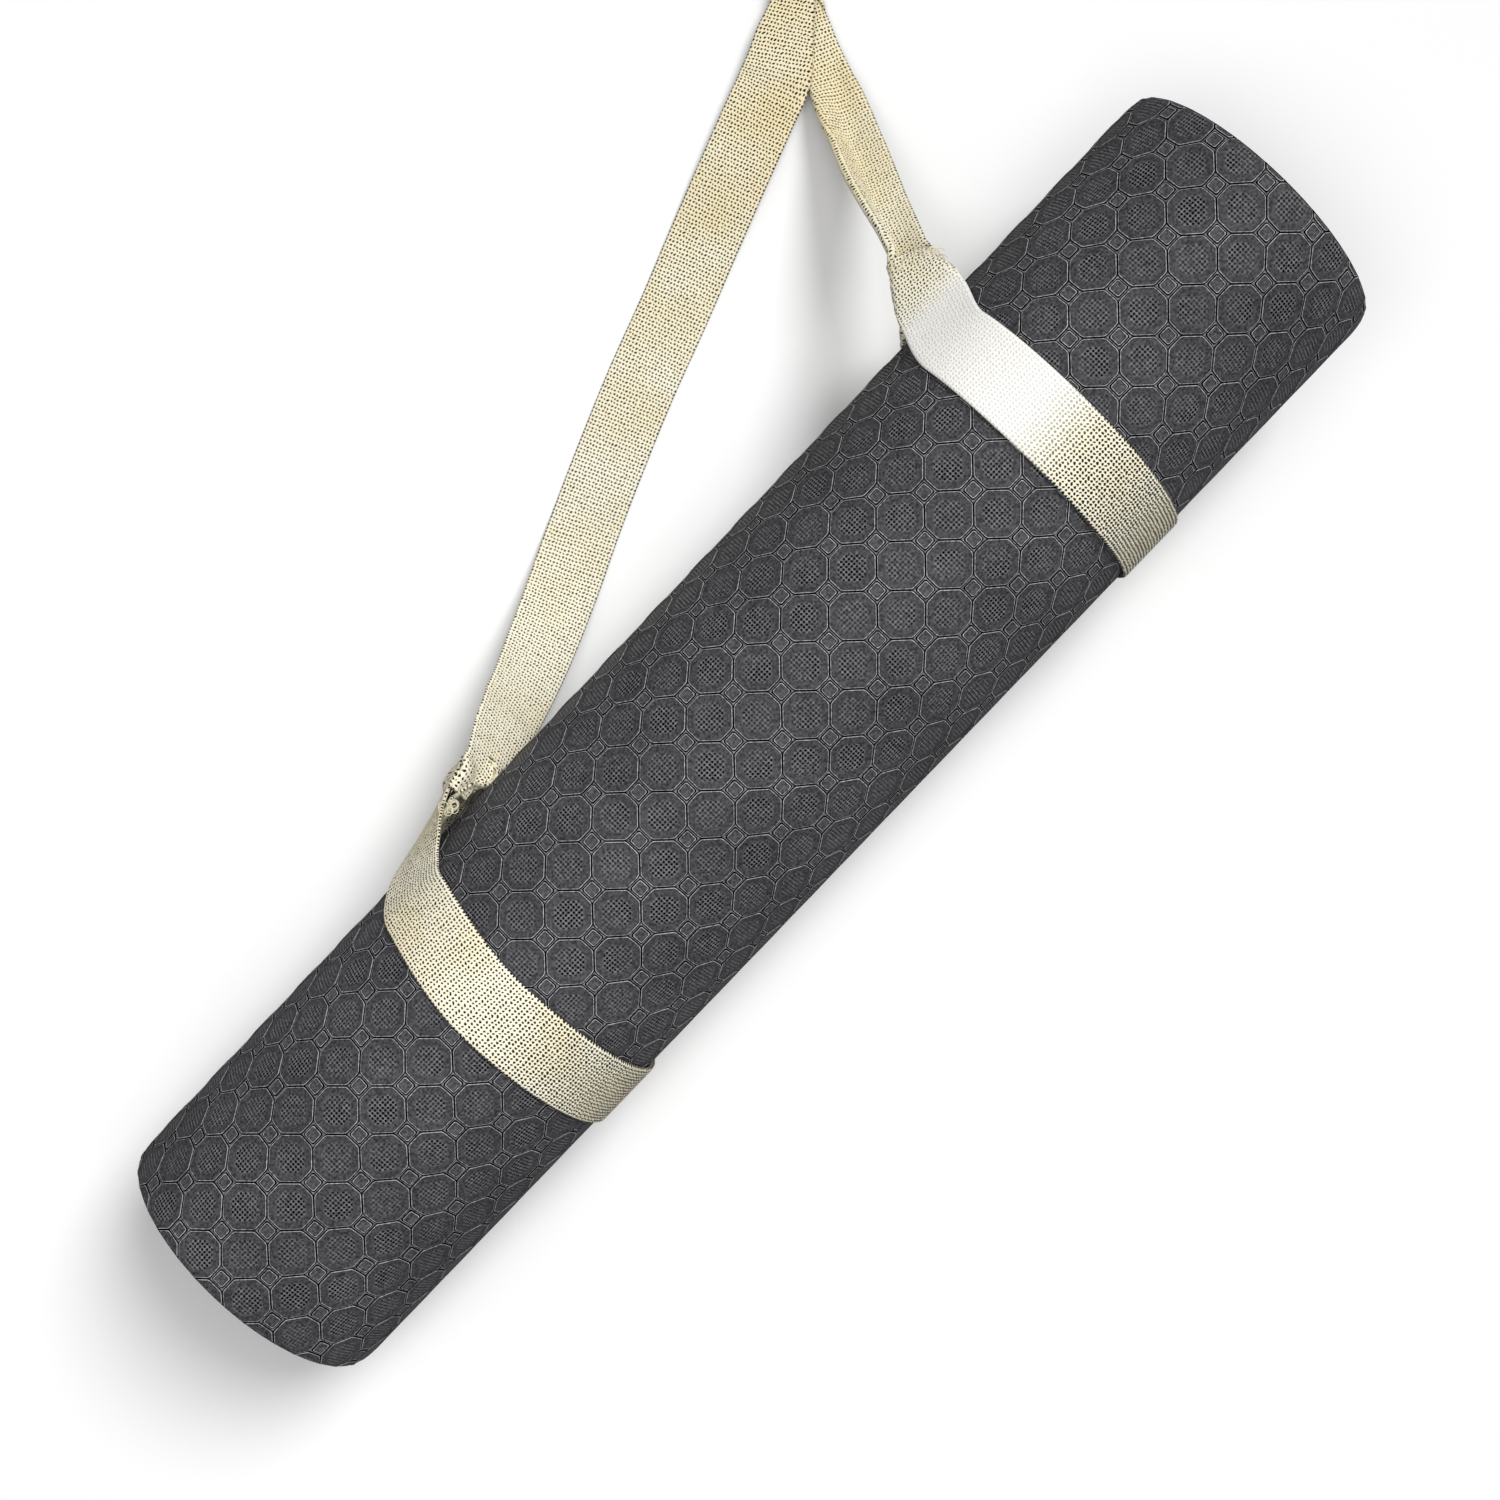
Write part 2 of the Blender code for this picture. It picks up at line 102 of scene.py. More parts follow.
def newPiece(name, mesh):  # smooth, and with its faces turned outwards
    shape = bmesh.new()
    shape.from_mesh(mesh)
    bmesh.ops.recalc_face_normals(shape, faces=shape.faces)
    shape.to_mesh(mesh)
    shape.free()
    mesh.shade_smooth()
    piece = bpy.data.objects.new(name, mesh)
    bpy.context.scene.collection.objects.link(piece)
    return piece


def newSurface(name, points, faces, places=None):
    mesh = bpy.data.meshes.new(name)
    mesh.from_pydata(points.tolist(), [], faces)
    if places is not None:
        writePlaces(mesh, places)
    return newPiece(name, mesh)


# Camera: it looks almost straight down on the lying roll, turned so that the roll runs up to the right
lens = {"focal": 51.0, "sensor": 36.0, "nearest": 0.01, "distance": 0.8995, "aside": -0.0060,
        "turn": math.radians(46.36), "tilt": math.radians(3.16)}

alongView = np.array((math.cos(lens["tilt"]), 0.0, -math.sin(lens["tilt"])))
backView = np.array((math.sin(lens["tilt"]), 0.0, math.cos(lens["tilt"])))
sideView = np.array((0.0, 1.0, 0.0))
pictureRight = math.cos(lens["turn"]) * alongView - math.sin(lens["turn"]) * sideView
pictureUp = math.sin(lens["turn"]) * alongView + math.cos(lens["turn"]) * sideView
cameraPlace = rollAxis + lens["distance"] * backView + lens["aside"] * sideView
cameraTurn = Matrix(np.stack([pictureRight, pictureUp, backView], 1).tolist()).to_4x4()

cameraData = bpy.data.cameras.new("pictureCamera")
cameraData.lens = lens["focal"]
cameraData.sensor_width = lens["sensor"]
cameraData.clip_start = lens["nearest"]
camera = bpy.data.objects.new("pictureCamera", cameraData)
camera.matrix_world = Matrix.Translation(Vector(cameraPlace)) @ cameraTurn
bpy.context.scene.collection.objects.link(camera)
bpy.context.scene.camera = camera
print("camera placed")

# Studio: a pale floor under a white sky, a soft sun from the roll's upper end and one wide lamp overhead
studio = {"floorSize": 6.0, "floorDrop": 0.0002, "bounce": "#9A9A9A", "floorRoughness": 0.9,
          "floorShine": 0.1, "skyStrength": 0.30, "sunStrength": 1.9, "sunSpread": math.radians(22),
          "sunWay": (-0.62, -0.02, -0.78), "topPower": 3.4, "topPlace": (-0.03, -0.1, 0.95),
          "topSize": (0.7, 0.4)}

floorCorners = np.array([(-1, -1, 0), (1, -1, 0), (1, 1, 0), (-1, 1, 0)]) * (studio["floorSize"] / 2)
floorCorners[:, 2] = -studio["floorDrop"]
floor = newSurface("studioFloor", floorCorners, [(0, 1, 2, 3)])
paper = bpy.data.materials.new("white backdrop paper")
# matt: the camera sees it white, while the light that it throws back on the roll is weaker
paper.use_nodes = True
shader = paper.node_tree.nodes["Principled BSDF"]
rays = addNode(paper.node_tree, "ShaderNodeLightPath")
seen = addNode(paper.node_tree, "ShaderNodeMix", {"data_type": "RGBA"},
               {"Factor": rays.outputs["Is Camera Ray"], 6: linearColour(studio["bounce"]), 7: white})
paper.node_tree.links.new(seen.outputs[2], shader.inputs["Base Color"])
shader.inputs["Roughness"].default_value = studio["floorRoughness"]
shader.inputs["Specular IOR Level"].default_value = studio["floorShine"]
floor.data.materials.append(paper)

sky = bpy.data.worlds.new("studioSky")
bpy.context.scene.world = sky
sky.use_nodes = True
skyTree = sky.node_tree
skyTree.nodes.clear()
rays = addNode(skyTree, "ShaderNodeLightPath")
shown = addNode(skyTree, "ShaderNodeBackground", {}, {"Color": white, "Strength": 1.0})
lighting = addNode(skyTree, "ShaderNodeBackground", {}, {"Color": white, "Strength": studio["skyStrength"]})
either = addNode(skyTree, "ShaderNodeMixShader", {},
                 {0: rays.outputs["Is Camera Ray"], 1: lighting.outputs[0], 2: shown.outputs[0]})
addNode(skyTree, "ShaderNodeOutputWorld", {}, {"Surface": either.outputs[0]})


def newLamp(name, kind, strength, place, heading, settings):
    lampData = bpy.data.lights.new(name, kind)
    lampData.energy = strength
    for key, value in settings.items():
        setattr(lampData, key, value)
    lamp = bpy.data.objects.new(name, lampData)
    lamp.location = place
    lamp.rotation_euler = heading.to_track_quat("-Z", "Y").to_euler()
    bpy.context.scene.collection.objects.link(lamp)


topWay = Vector(rollAxis) - Vector(studio["topPlace"])
newLamp("topLamp", "AREA", studio["topPower"], studio["topPlace"], topWay,
        {"shape": "RECTANGLE", "size": studio["topSize"][0], "size_y": studio["topSize"][1]})
newLamp("keyLight", "SUN", studio["sunStrength"], (0, 0, 0), Vector(studio["sunWay"]),
        {"angle": studio["sunSpread"]})
bpy.context.scene.view_settings.view_transform = "Standard"
print("studio lit")

# The mat's foam: thermoplastic elastomer, closed-cell, pressed under a hot patterned roller
# painted shade: groove, second, pit; painted highlights: rim, seam, net
foamLook = {"field": "#414144", "groove": "#020203", "rim": "#A4A4A7", "secondGrooveShade": "#303033", "seam": "#7A7A7E",
            "square": "#4A4A4D", "netHighlight": "#626265", "pit": "#010102", "cutEdge": "#333335",
            "grain": 0.0011, "grainDepth": 0.65, "cloudsPerMetre": 24.0, "cloudDepth": 0.14,
            "noiseSpan": (0.3, 0.7), "pitPitch": 0.0015, "pitSpan": (-0.3, 0.8), "pitBump": 1.2,
            "patch": 0.0058, "patchFade": (0.0004, 0.0006), "wornPerMetre": 55.0, "wornSpan": (0.35, 0.6),
            "wornLeast": 0.65, "roughness": 0.55, "cutShine": 0.10, "darkest": 0.003, "brightest": 0.2,
            "shine": (0.03, 0.45), "bump": 0.7, "bumpDepth": 0.0003}
rampReach = 0.0025  # the colour ramps run this far in from the groove's middle
# each ramp paints shade into its grooves and a highlight onto its rims and seams
flatStops = ((0.00, "groove"), (0.19, "groove"), (0.25, "rim"), (0.31, "rim"), (0.37, "secondGrooveShade"),
             (0.43, "secondGrooveShade"), (0.51, "field"))
squareStops = ((0.00, "seam"), (0.03, "seam"), (0.07, "groove"), (0.25, "groove"), (0.31, "rim"),
               (0.35, "rim"), (0.41, "secondGrooveShade"), (0.45, "secondGrooveShade"), (0.54, "square"))
cutMark = -0.001  # what reliefStep holds on the sheet's cut sides and its back
cutLimit = -0.0004


def lineRamp(tree, step, stops):
    node = addNode(tree, "ShaderNodeValToRGB", {}, {0: mathStep(tree, "MULTIPLY", step, 1 / rampReach)})
    while len(node.color_ramp.elements) < len(stops):
        node.color_ramp.elements.new(0.5)
    for element, (at, tone) in zip(node.color_ramp.elements, stops):
        element.position = at
        element.color = linearColour(foamLook[tone])
    return node.outputs[0]


def pitPatch(tree, step, place):
    # a patch inside each octagon, fainter where it is worn, and the rows of pits that fill it; the patch's
    # net gets a painted highlight and the pits painted shade
    flat = addNode(tree, "ShaderNodeUVMap", {"uv_map": "flatPlace"})
    axes = addNode(tree, "ShaderNodeSeparateXYZ", {}, {0: flat.outputs[0]})
    waves = []
    for axis in (0, 1):  # a row of pits along each way of the sheet
        turned = mathStep(tree, "MULTIPLY", axes.outputs[axis], 2 * math.pi / foamLook["pitPitch"])
        waves.append(mathStep(tree, "COSINE", turned))
    pit = addNode(tree, "ShaderNodeMapRange", {"interpolation_type": "SMOOTHSTEP"},
                  {"Value": mathStep(tree, "ADD", *waves), "From Min": foamLook["pitSpan"][0],
                   "From Max": foamLook["pitSpan"][1]})
    edge = emboss["pitch"] / 2 - foamLook["patch"]
    patch = addNode(tree, "ShaderNodeMapRange", {},
                    {"Value": step, "From Min": edge - foamLook["patchFade"][0],
                     "From Max": edge + foamLook["patchFade"][1]})
    worn = addNode(tree, "ShaderNodeTexNoise", {},
                   {"Vector": place, "Scale": foamLook["wornPerMetre"], "Detail": 1.0})
    kept = addNode(tree, "ShaderNodeMapRange", {},
                   {"Value": worn.outputs[0], "From Min": foamLook["wornSpan"][0],
                    "From Max": foamLook["wornSpan"][1], "To Min": foamLook["wornLeast"]})
    patch = mathStep(tree, "MULTIPLY", patch.outputs[0], kept.outputs[0])
    return patch, mathStep(tree, "MULTIPLY", pit.outputs[0], patch)


def pressedColour(tree, step, patch, pits):
    # the lines beside the octagons and round the squares, with painted shade in the grooves and painted
    # highlights on the rims and seams, then the patches with a painted highlight on their net, their pits in
    # painted shade, and the cut sides
    atSquare = addNode(tree, "ShaderNodeAttribute", {"attribute_name": "atSquare"}).outputs["Fac"]
    cut = mathStep(tree, "LESS_THAN", step, cutLimit)
    colour = addNode(tree, "ShaderNodeMix", {"data_type": "RGBA"},
                     {"Factor": atSquare, 6: lineRamp(tree, step, flatStops),
                      7: lineRamp(tree, step, squareStops)})
    for share, tone in ((patch, "netHighlight"), (pits, "pit"), (cut, "cutEdge")):
        colour = addNode(tree, "ShaderNodeMix", {"data_type": "RGBA"},
                         {"Factor": share, 6: colour.outputs[2], 7: linearColour(foamLook[tone])})
    return colour.outputs[2]


def foamMaterial(name, embossed):
    # satin, nearly black grey: the raised lines carry a painted highlight, the grooves and pressed pits
    # painted shade, and the pits stay dull
    material = bpy.data.materials.new(name)
    material.use_nodes = True
    tree = material.node_tree
    shader = tree.nodes["Principled BSDF"]
    place = addNode(tree, "ShaderNodeTexCoord").outputs["Object"]
    grain = addNode(tree, "ShaderNodeTexNoise", {},
                    {"Vector": place, "Scale": 1 / foamLook["grain"], "Detail": 2.0}).outputs[0]
    clouds = addNode(tree, "ShaderNodeTexNoise", {},
                     {"Vector": place, "Scale": foamLook["cloudsPerMetre"], "Detail": 3.0}).outputs[0]
    low, high = foamLook["noiseSpan"]
    shades = []
    for noise, depth in ((clouds, foamLook["cloudDepth"]), (grain, foamLook["grainDepth"])):
        ranged = addNode(tree, "ShaderNodeMapRange", {},
                         {"Value": noise, "From Min": low, "From Max": high,
                          "To Min": 1 - depth, "To Max": 1 + depth})
        shades.append(ranged.outputs[0])
    shade = mathStep(tree, "MULTIPLY", *shades)
    if embossed:
        step = addNode(tree, "ShaderNodeAttribute", {"attribute_name": "reliefStep"}).outputs["Fac"]
        patch, pits = pitPatch(tree, step, place)
        colour = pressedColour(tree, step, patch, pits)
        height = mathStep(tree, "MULTIPLY_ADD", pits, -foamLook["pitBump"], grain)
        # the grooves and pits, painted dark as shade, shine less too, the rims with their painted highlight
        # more
        bright = addNode(tree, "ShaderNodeRGBToBW", {}, {0: colour})
        shine = addNode(tree, "ShaderNodeMapRange", {},
                        {"Value": bright.outputs[0], "From Min": foamLook["darkest"],
                         "From Max": foamLook["brightest"], "To Min": foamLook["shine"][0],
                         "To Max": foamLook["shine"][1]})
        tree.links.new(shine.outputs[0], shader.inputs["Specular IOR Level"])
    else:
        colour = linearColour(foamLook["cutEdge"])[:3]
        height = grain
        shader.inputs["Specular IOR Level"].default_value = foamLook["cutShine"]
    shaded = addNode(tree, "ShaderNodeVectorMath", {"operation": "SCALE"}, {0: colour, "Scale": shade})
    tree.links.new(shaded.outputs[0], shader.inputs["Base Color"])
    bump = addNode(tree, "ShaderNodeBump", {},
                   {"Height": height, "Strength": foamLook["bump"], "Distance": foamLook["bumpDepth"]})
    tree.links.new(bump.outputs[0], shader.inputs["Normal"])
    shader.inputs["Roughness"].default_value = foamLook["roughness"]
    return material


# The rolled sheet
roll = {"length": 1.830, "width": 0.610, "thickness": 0.006, "wrapGap": 0.0007, "coreRadius": 0.0138,
        "outerEdge": math.radians(188), "underLap": math.radians(8), "edgeRound": 0.0010,
        "wander": 0.0005, "wanderPace": 0.83, "wanderStart": 0.6,
        "endDip": 0.0020, "endReach": 0.0090, "endSteepness": 0.96, "backStrip": 0.0055, "firstStrip": 0.004,
        "edgeSteps": 4, "creases": (0.2, 0.45, 0.7, 0.85, 1.0), "wrapBends": (1.0, 0.7, 0.4, 0.2),
        "wrapEdgeSteps": 3, "wrapStep": math.radians(4), "sharpFrom": math.radians(50), "evenness": 80,
        "weldWithin": 1e-5, "cutWithin": 1e-6, "stripWithin": 1e-7}
wrapPitch = roll["thickness"] + roll["wrapGap"]
innerMiddle = roll["coreRadius"] + roll["thickness"] / 2
outerMiddle = math.sqrt(innerMiddle ** 2 + roll["length"] * wrapPitch / math.pi)
turnOfSheet = (outerMiddle - innerMiddle) / wrapPitch * 2 * math.pi


def rollRadius(angle):  # the sheet's outer face; one full circle less is one wrap further in
    return outerMiddle + roll["thickness"] / 2 - wrapPitch * (roll["outerEdge"] - angle) / (2 * math.pi)


def onRoll(x, angle, height):
    # the flat sheet wound up: its turns also lie a little to one side or the other, and its soft ends lie a
    # little closer in, along part of an ellipse
    wandered = x + roll["wander"] * np.sin(roll["wanderPace"] * angle + roll["wanderStart"])
    reached = np.clip((np.abs(x) - roll["width"] / 2) / roll["endReach"] + 1, 0, 1)
    dipped = height - roll["endDip"] * (1 - np.sqrt(1 - roll["endSteepness"] * reached ** 2))
    away = (rollRadius(angle) + dipped)[..., None] * radial(angle)
    return rollAxis + away + wandered[..., None] * xWay


topRadius = rollRadius(math.pi / 2)
radiusRise = wrapPitch / (2 * math.pi)


def arcAt(angle):  # length along the outer face from the top of the roll
    past = angle - math.pi / 2
    return topRadius * past + radiusRise * past ** 2 / 2


def angleAt(arc):
    return math.pi / 2 + (np.sqrt(topRadius ** 2 + 2 * radiusRise * arc) - topRadius) / radiusRise


# The pressed pattern: octagons on a square grid that stands on its corner, small squares between them
emboss = {"pitch": 0.01913, "firstX": 0.0418, "firstArc": -0.0010, "squareSide": 0.0103, "flatShare": 0.86,
          "cornerShare": 0.80, "steps": (0.0, 0.00028, 0.0006, 0.0010, 0.0015),
          "flatSteps": (0.0, 0.0002, 0.0004, 0.00075, 0.00125),
          "heights": (-0.00060, -0.00055, 0.0, 0.0, -0.00032), "seamRise": 0.00035,
          "squareBand": 0.0016, "squareFade": 0.0004}
cellHalf = emboss["pitch"] / 2
toSquare = math.sqrt(2) * cellHalf
squareHalf = toSquare - emboss["squareSide"]  # squareSide: from an octagon's middle to its slanted sides
bothEnds = np.array((-1.0, 1.0))


def octagonRing(inset, flatInset):
    # sixteen points: on each of the eight sides two, short of its ends, so the corners come out rounded
    side = np.arange(8)
    flats = side % 2 == 0
    reach = np.where(flats, cellHalf - flatInset, emboss["squareSide"] - inset)
    other = np.where(flats, emboss["squareSide"] - inset, cellHalf - flatInset)
    half = (math.sqrt(2) * other - reach) * np.where(flats, emboss["flatShare"], emboss["cornerShare"])
    facing = math.pi / 4 * (side + 1)
    out = np.stack([np.cos(facing), np.sin(facing)], 1)
    along = np.stack([-np.sin(facing), np.cos(facing)], 1)
    ends = (half[:, None] * bothEnds)[..., None]
    return (reach[:, None, None] * out[:, None] + ends * along[:, None]).reshape(-1, 2)


def squareRing(inset):  # eight points, two on each side
    side = np.arange(4)
    out = np.stack([np.cos(side * math.pi / 2), np.sin(side * math.pi / 2)], 1)
    along = np.stack([-out[:, 1], out[:, 0]], 1)
    ends = (bothEnds * emboss["cornerShare"])[None, :, None]
    ring = (squareHalf - inset) * (out[:, None] + ends * along[:, None])
    return ring.reshape(-1, 2) + np.array((toSquare, 0.0))


def ringFaces(count, rings, first=0):  # quads between rings of equal count
    k = np.arange(count)
    base = first + np.arange(rings - 1)[:, None] * count
    nextK = (k + 1) % count
    return np.stack([base + k, base + nextK, base + count + nextK, base + count + k], -1).reshape(-1, 4)


def fanFaces(count, centre):  # triangles from a ring to its centre, which is the next point after it
    k = np.arange(count)
    first = centre - count
    return np.stack([first + k, first + (k + 1) % count, 0 * k + centre], 1)


def reliefDistance(x, arc):
    # how far a place lies from the middle of the nearest groove, and how near it is to a small square
    cosine = math.sqrt(0.5)
    u = ((x - emboss["firstX"]) + (arc - emboss["firstArc"])) * cosine
    v = ((arc - emboss["firstArc"]) - (x - emboss["firstX"])) * cosine
    u = np.abs(u - emboss["pitch"] * np.round(u / emboss["pitch"]))
    v = np.abs(v - emboss["pitch"] * np.round(v / emboss["pitch"]))
    past = (u + v) * cosine - emboss["squareSide"]  # beyond the octagon's slanted side
    toFlat = cellHalf - np.maximum(u, v)
    extra = emboss["steps"][-1] - emboss["flatSteps"][-1]
    stepped = np.interp(toFlat, emboss["flatSteps"], emboss["steps"])
    toFlat = np.where(toFlat > emboss["flatSteps"][-1], toFlat + extra, stepped)
    fading = smoothStep((emboss["squareBand"] + past) / emboss["squareFade"])
    nearer = smoothStep((toFlat + past) / emboss["squareFade"] + 0.5)
    atSquare = np.where(past < 0, nearer * fading, 1.0)
    return np.where(past < 0, np.minimum(toFlat, -past), past), atSquare


def flatCells(arcLow, arcHigh):
    # one octagon and one square worked out once, then repeated at every place of the grid
    steps = emboss["steps"]
    octagonRings = [octagonRing(*insets) for insets in zip(steps, emboss["flatSteps"])]
    squareRings = [squareRing(inset) for inset in steps]
    octagon = np.concatenate(octagonRings + [np.zeros((1, 2))])
    square = np.concatenate(squareRings + [[(toSquare, 0.0)]])
    short = emboss["cornerShare"] * squareHalf
    flatHalf = math.sqrt(2) * emboss["squareSide"] - cellHalf
    tip = squareHalf + (1 - emboss["flatShare"]) * flatHalf / math.sqrt(2)
    gore = np.array([(squareHalf, short), (short, squareHalf), (tip, tip)])  # fills a square's rounded corner
    quarters = np.arange(4) * math.pi / 2
    turns = [np.array([(math.cos(t), -math.sin(t)), (math.sin(t), math.cos(t))]) for t in quarters]
    gores = np.concatenate([gore @ turn.T for turn in turns]) + np.array((toSquare, 0.0))
    cell = np.concatenate([octagon, square, gores])
    octagonCount, squareCount = len(octagonRings[0]), len(squareRings[0])
    firstSquare = len(octagon)
    firstGore = firstSquare + len(square)
    quads = np.concatenate([ringFaces(octagonCount, len(steps)),
                            ringFaces(squareCount, len(steps), firstSquare)])
    triangles = np.concatenate([fanFaces(octagonCount, firstSquare - 1), fanFaces(squareCount, firstGore - 1),
                                np.arange(len(gores)).reshape(-1, 3) + firstGore])

    spare = 0.03  # the grid goes this far past the sheet's edges
    reach = int((roll["width"] + arcHigh - arcLow) / emboss["pitch"]) + 2
    i, j = np.meshgrid(np.arange(-reach, reach + 1), np.arange(-reach, reach + 1))
    x = emboss["firstX"] + emboss["pitch"] * (i - j).ravel() * math.sqrt(0.5)
    arc = emboss["firstArc"] + emboss["pitch"] * (i + j).ravel() * math.sqrt(0.5)
    kept = (np.abs(x) < roll["width"] / 2 + spare) & (arc > arcLow - spare) & (arc < arcHigh + spare)
    places = np.stack([x[kept], arc[kept]], 1)
    points = (places[:, None] + cell[None]).reshape(-1, 2)
    points = np.column_stack([points, np.zeros(len(points))])
    shift = (np.arange(len(places)) * len(cell))[:, None, None]
    faces = []
    for group in (quads, triangles):
        faces += (group[None] + shift).reshape(-1, group.shape[1]).tolist()
    return points, faces, len(places)


def cutThrough(shape, place, away, clear):
    everything = shape.verts[:] + shape.edges[:] + shape.faces[:]
    bmesh.ops.bisect_plane(shape, geom=everything, plane_co=place, plane_no=away, clear_outer=clear,
                           dist=roll["cutWithin"])


def turnBorder(shape, halfFlat, arcLow, arcFlat):
    # the trimmed border goes out and down round the upper edge, straight down, and in round the lower edge
    border = [edge for edge in shape.edges if edge.is_boundary]
    turned = np.linspace(0, math.pi / 2, roll["edgeSteps"] + 1)[1:]
    deep = roll["thickness"] / roll["edgeRound"]
    over = np.concatenate([np.sin(turned), np.ones(2), np.cos(turned)]) * roll["edgeRound"]
    down = np.concatenate([1 - np.cos(turned), [2.0, deep - 1], deep - 1 + np.sin(turned)])
    down = down * roll["edgeRound"]
    reached, sunk = 0.0, 0.0
    for outward, depth in zip(over, down):
        drawn = bmesh.ops.extrude_edge_only(shape, edges=border)["geom"]
        ring = [item for item in drawn if isinstance(item, bmesh.types.BMVert)]
        border = [item for item in drawn if isinstance(item, bmesh.types.BMEdge) and item.is_boundary]
        stretch = ((halfFlat + outward) / (halfFlat + reached),
                   (arcFlat + outward) / (arcFlat + reached), 1.0)
        bmesh.ops.scale(shape, verts=ring, vec=stretch, space=Matrix.Translation((0, -arcLow, 0)))
        bmesh.ops.translate(shape, verts=ring, vec=(0, 0, sunk - depth))
        reached, sunk = outward, depth
    return border


def flatSheet(arcLow, arcHigh):
    # the flat pattern is trimmed to the sheet, its border turned down, its back closed and cut into strips
    points, faces, cells = flatCells(arcLow, arcHigh)
    mesh = bpy.data.meshes.new("flatSheet")
    mesh.from_pydata(points.tolist(), [], faces)
    shape = bmesh.new()
    shape.from_mesh(mesh)
    bmesh.ops.remove_doubles(shape, verts=shape.verts, dist=roll["weldWithin"])
    halfFlat = roll["width"] / 2 - roll["edgeRound"]
    arcTop = arcHigh - roll["edgeRound"]
    for place, away in (((halfFlat, 0, 0), (1, 0, 0)), ((-halfFlat, 0, 0), (-1, 0, 0)),
                        ((0, arcTop, 0), (0, 1, 0)), ((0, arcLow, 0), (0, -1, 0))):
        cutThrough(shape, place, away, True)
    for share in roll["creases"]:  # lines across the sheet, so that the round ends have places to bend
        for side in (-1, 1):
            cutThrough(shape, (side * (roll["width"] / 2 - share * roll["endReach"]), 0, 0), (1, 0, 0), False)
    border = turnBorder(shape, halfFlat, arcLow, arcTop - arcLow)
    back = bmesh.ops.contextual_create(shape, geom=border)["faces"]
    part = back + [edge for face in back for edge in face.edges]
    part += [vert for face in back for vert in face.verts]
    for arc in np.arange(arcLow + roll["firstStrip"], arcHigh, roll["backStrip"]):
        cut = bmesh.ops.bisect_plane(shape, geom=part, plane_co=(0, arc, 0), plane_no=(0, 1, 0),
                                     dist=roll["stripWithin"])
        part = cut["geom"]
    shape.to_mesh(mesh)
    shape.free()
    print("flat sheet:", cells, "cells,", len(mesh.polygons), "faces")
    return mesh


def outerTurn():
    # the flat sheet gets the heights of its pressed lines, and is then wound once round the roll
    arcHigh = float(arcAt(roll["outerEdge"]))
    arcLow = float(arcAt(roll["outerEdge"] - 2 * math.pi - roll["underLap"]))
    mesh = flatSheet(arcLow, arcHigh)
    flat = np.empty(len(mesh.vertices) * 3)
    mesh.vertices.foreach_get("co", flat)
    flat = flat.reshape(-1, 3)
    x, arc, height = flat.T
    step, atSquare = reliefDistance(x, arc)
    onField = np.clip(1 + height / roll["edgeRound"], 0, 1)
    seam = emboss["seamRise"] * atSquare * (1 - smoothStep(step / emboss["steps"][1]))
    relief = (np.interp(step, emboss["steps"], emboss["heights"]) + seam) * onField
    mesh.vertices.foreach_set("co", onRoll(x, angleAt(arc), height + relief).ravel())
    writePlaces(mesh, flat[:, :2])
    onSides = np.where(onField > 0, 0.0, cutMark)
    writeValues(mesh, "reliefStep", np.where(height > -roll["cutWithin"], step, onSides))
    writeValues(mesh, "atSquare", atSquare)
    mesh.update()
    piece = newPiece("foamOuterTurn", mesh)
    piece.modifiers.new("even fields", "WEIGHTED_NORMAL").weight = roll["evenness"]
    print("outer turn wound")
    return piece


def innerWraps():
    # a rounded strip's outline carried round the spiral, from under the outer turn to the hollow middle
    turned = np.linspace(0, math.pi / 2, roll["wrapEdgeSteps"] + 1)
    radius = roll["edgeRound"]
    bends = roll["width"] / 2 - roll["endReach"] * np.array(roll["wrapBends"])
    cornerX = np.concatenate([bends, roll["width"] / 2 - radius + radius * np.sin(turned)])
    cornerH = np.concatenate([0 * bends, -radius + radius * np.cos(turned)])
    outlineX = np.concatenate([-cornerX[::-1], cornerX, cornerX[::-1], -cornerX])
    upperH = np.concatenate([cornerH[::-1], cornerH])
    outlineH = np.concatenate([upperH, -roll["thickness"] - upperH])
    start = roll["outerEdge"] - 2 * math.pi - roll["underLap"]
    end = roll["outerEdge"] - turnOfSheet
    angles = np.linspace(start, end, int((start - end) / roll["wrapStep"]))
    x, angle = np.meshgrid(outlineX, angles)
    points = onRoll(x, angle, np.broadcast_to(outlineH, x.shape)).reshape(-1, 3)
    count = len(outlineX)
    faces = ringFaces(count, len(angles)).tolist()
    faces += [list(range(count)), list(range(len(points) - count, len(points)))]
    piece = newSurface("foamInnerWraps", points, faces)
    piece.data.set_sharp_from_angle(angle=roll["sharpFrom"])
    print("inner wraps:", len(faces), "faces")
    return piece


outer = outerTurn()
inner = innerWraps()
outer.data.materials.append(foamMaterial("embossed elastomer foam", True))
inner.data.materials.append(foamMaterial("cut elastomer foam", False))
for piece in (outer, inner):
    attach(piece, "mat")
    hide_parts("mat_sheet")

# The webbing: soft cotton, loosely woven in chain-like ribs, so small gaps show between them, painted dark as
# shade
webbing = {"width": 0.0315, "thickness": 0.0020, "ribs": 20, "relief": 0.00030, "dotDepth": 0.00022,
           "zigzag": 0.00022, "stitch": 0.00174, "rim": 0.00025, "edgeShare": 0.55, "edgeFade": 14,
           "zigzagFade": 12, "touchGap": 0.0003, "groundGap": 0.0001}
folding = {"pleats": 2, "fullness": 1.07, "creaseTakes": 0.19, "narrowest": 0.25, "sway": 0.9, "swayPace": 90,
           "creaseSpan": 0.3, "swingGain": 0.1, "leastTuck": 1e-9}
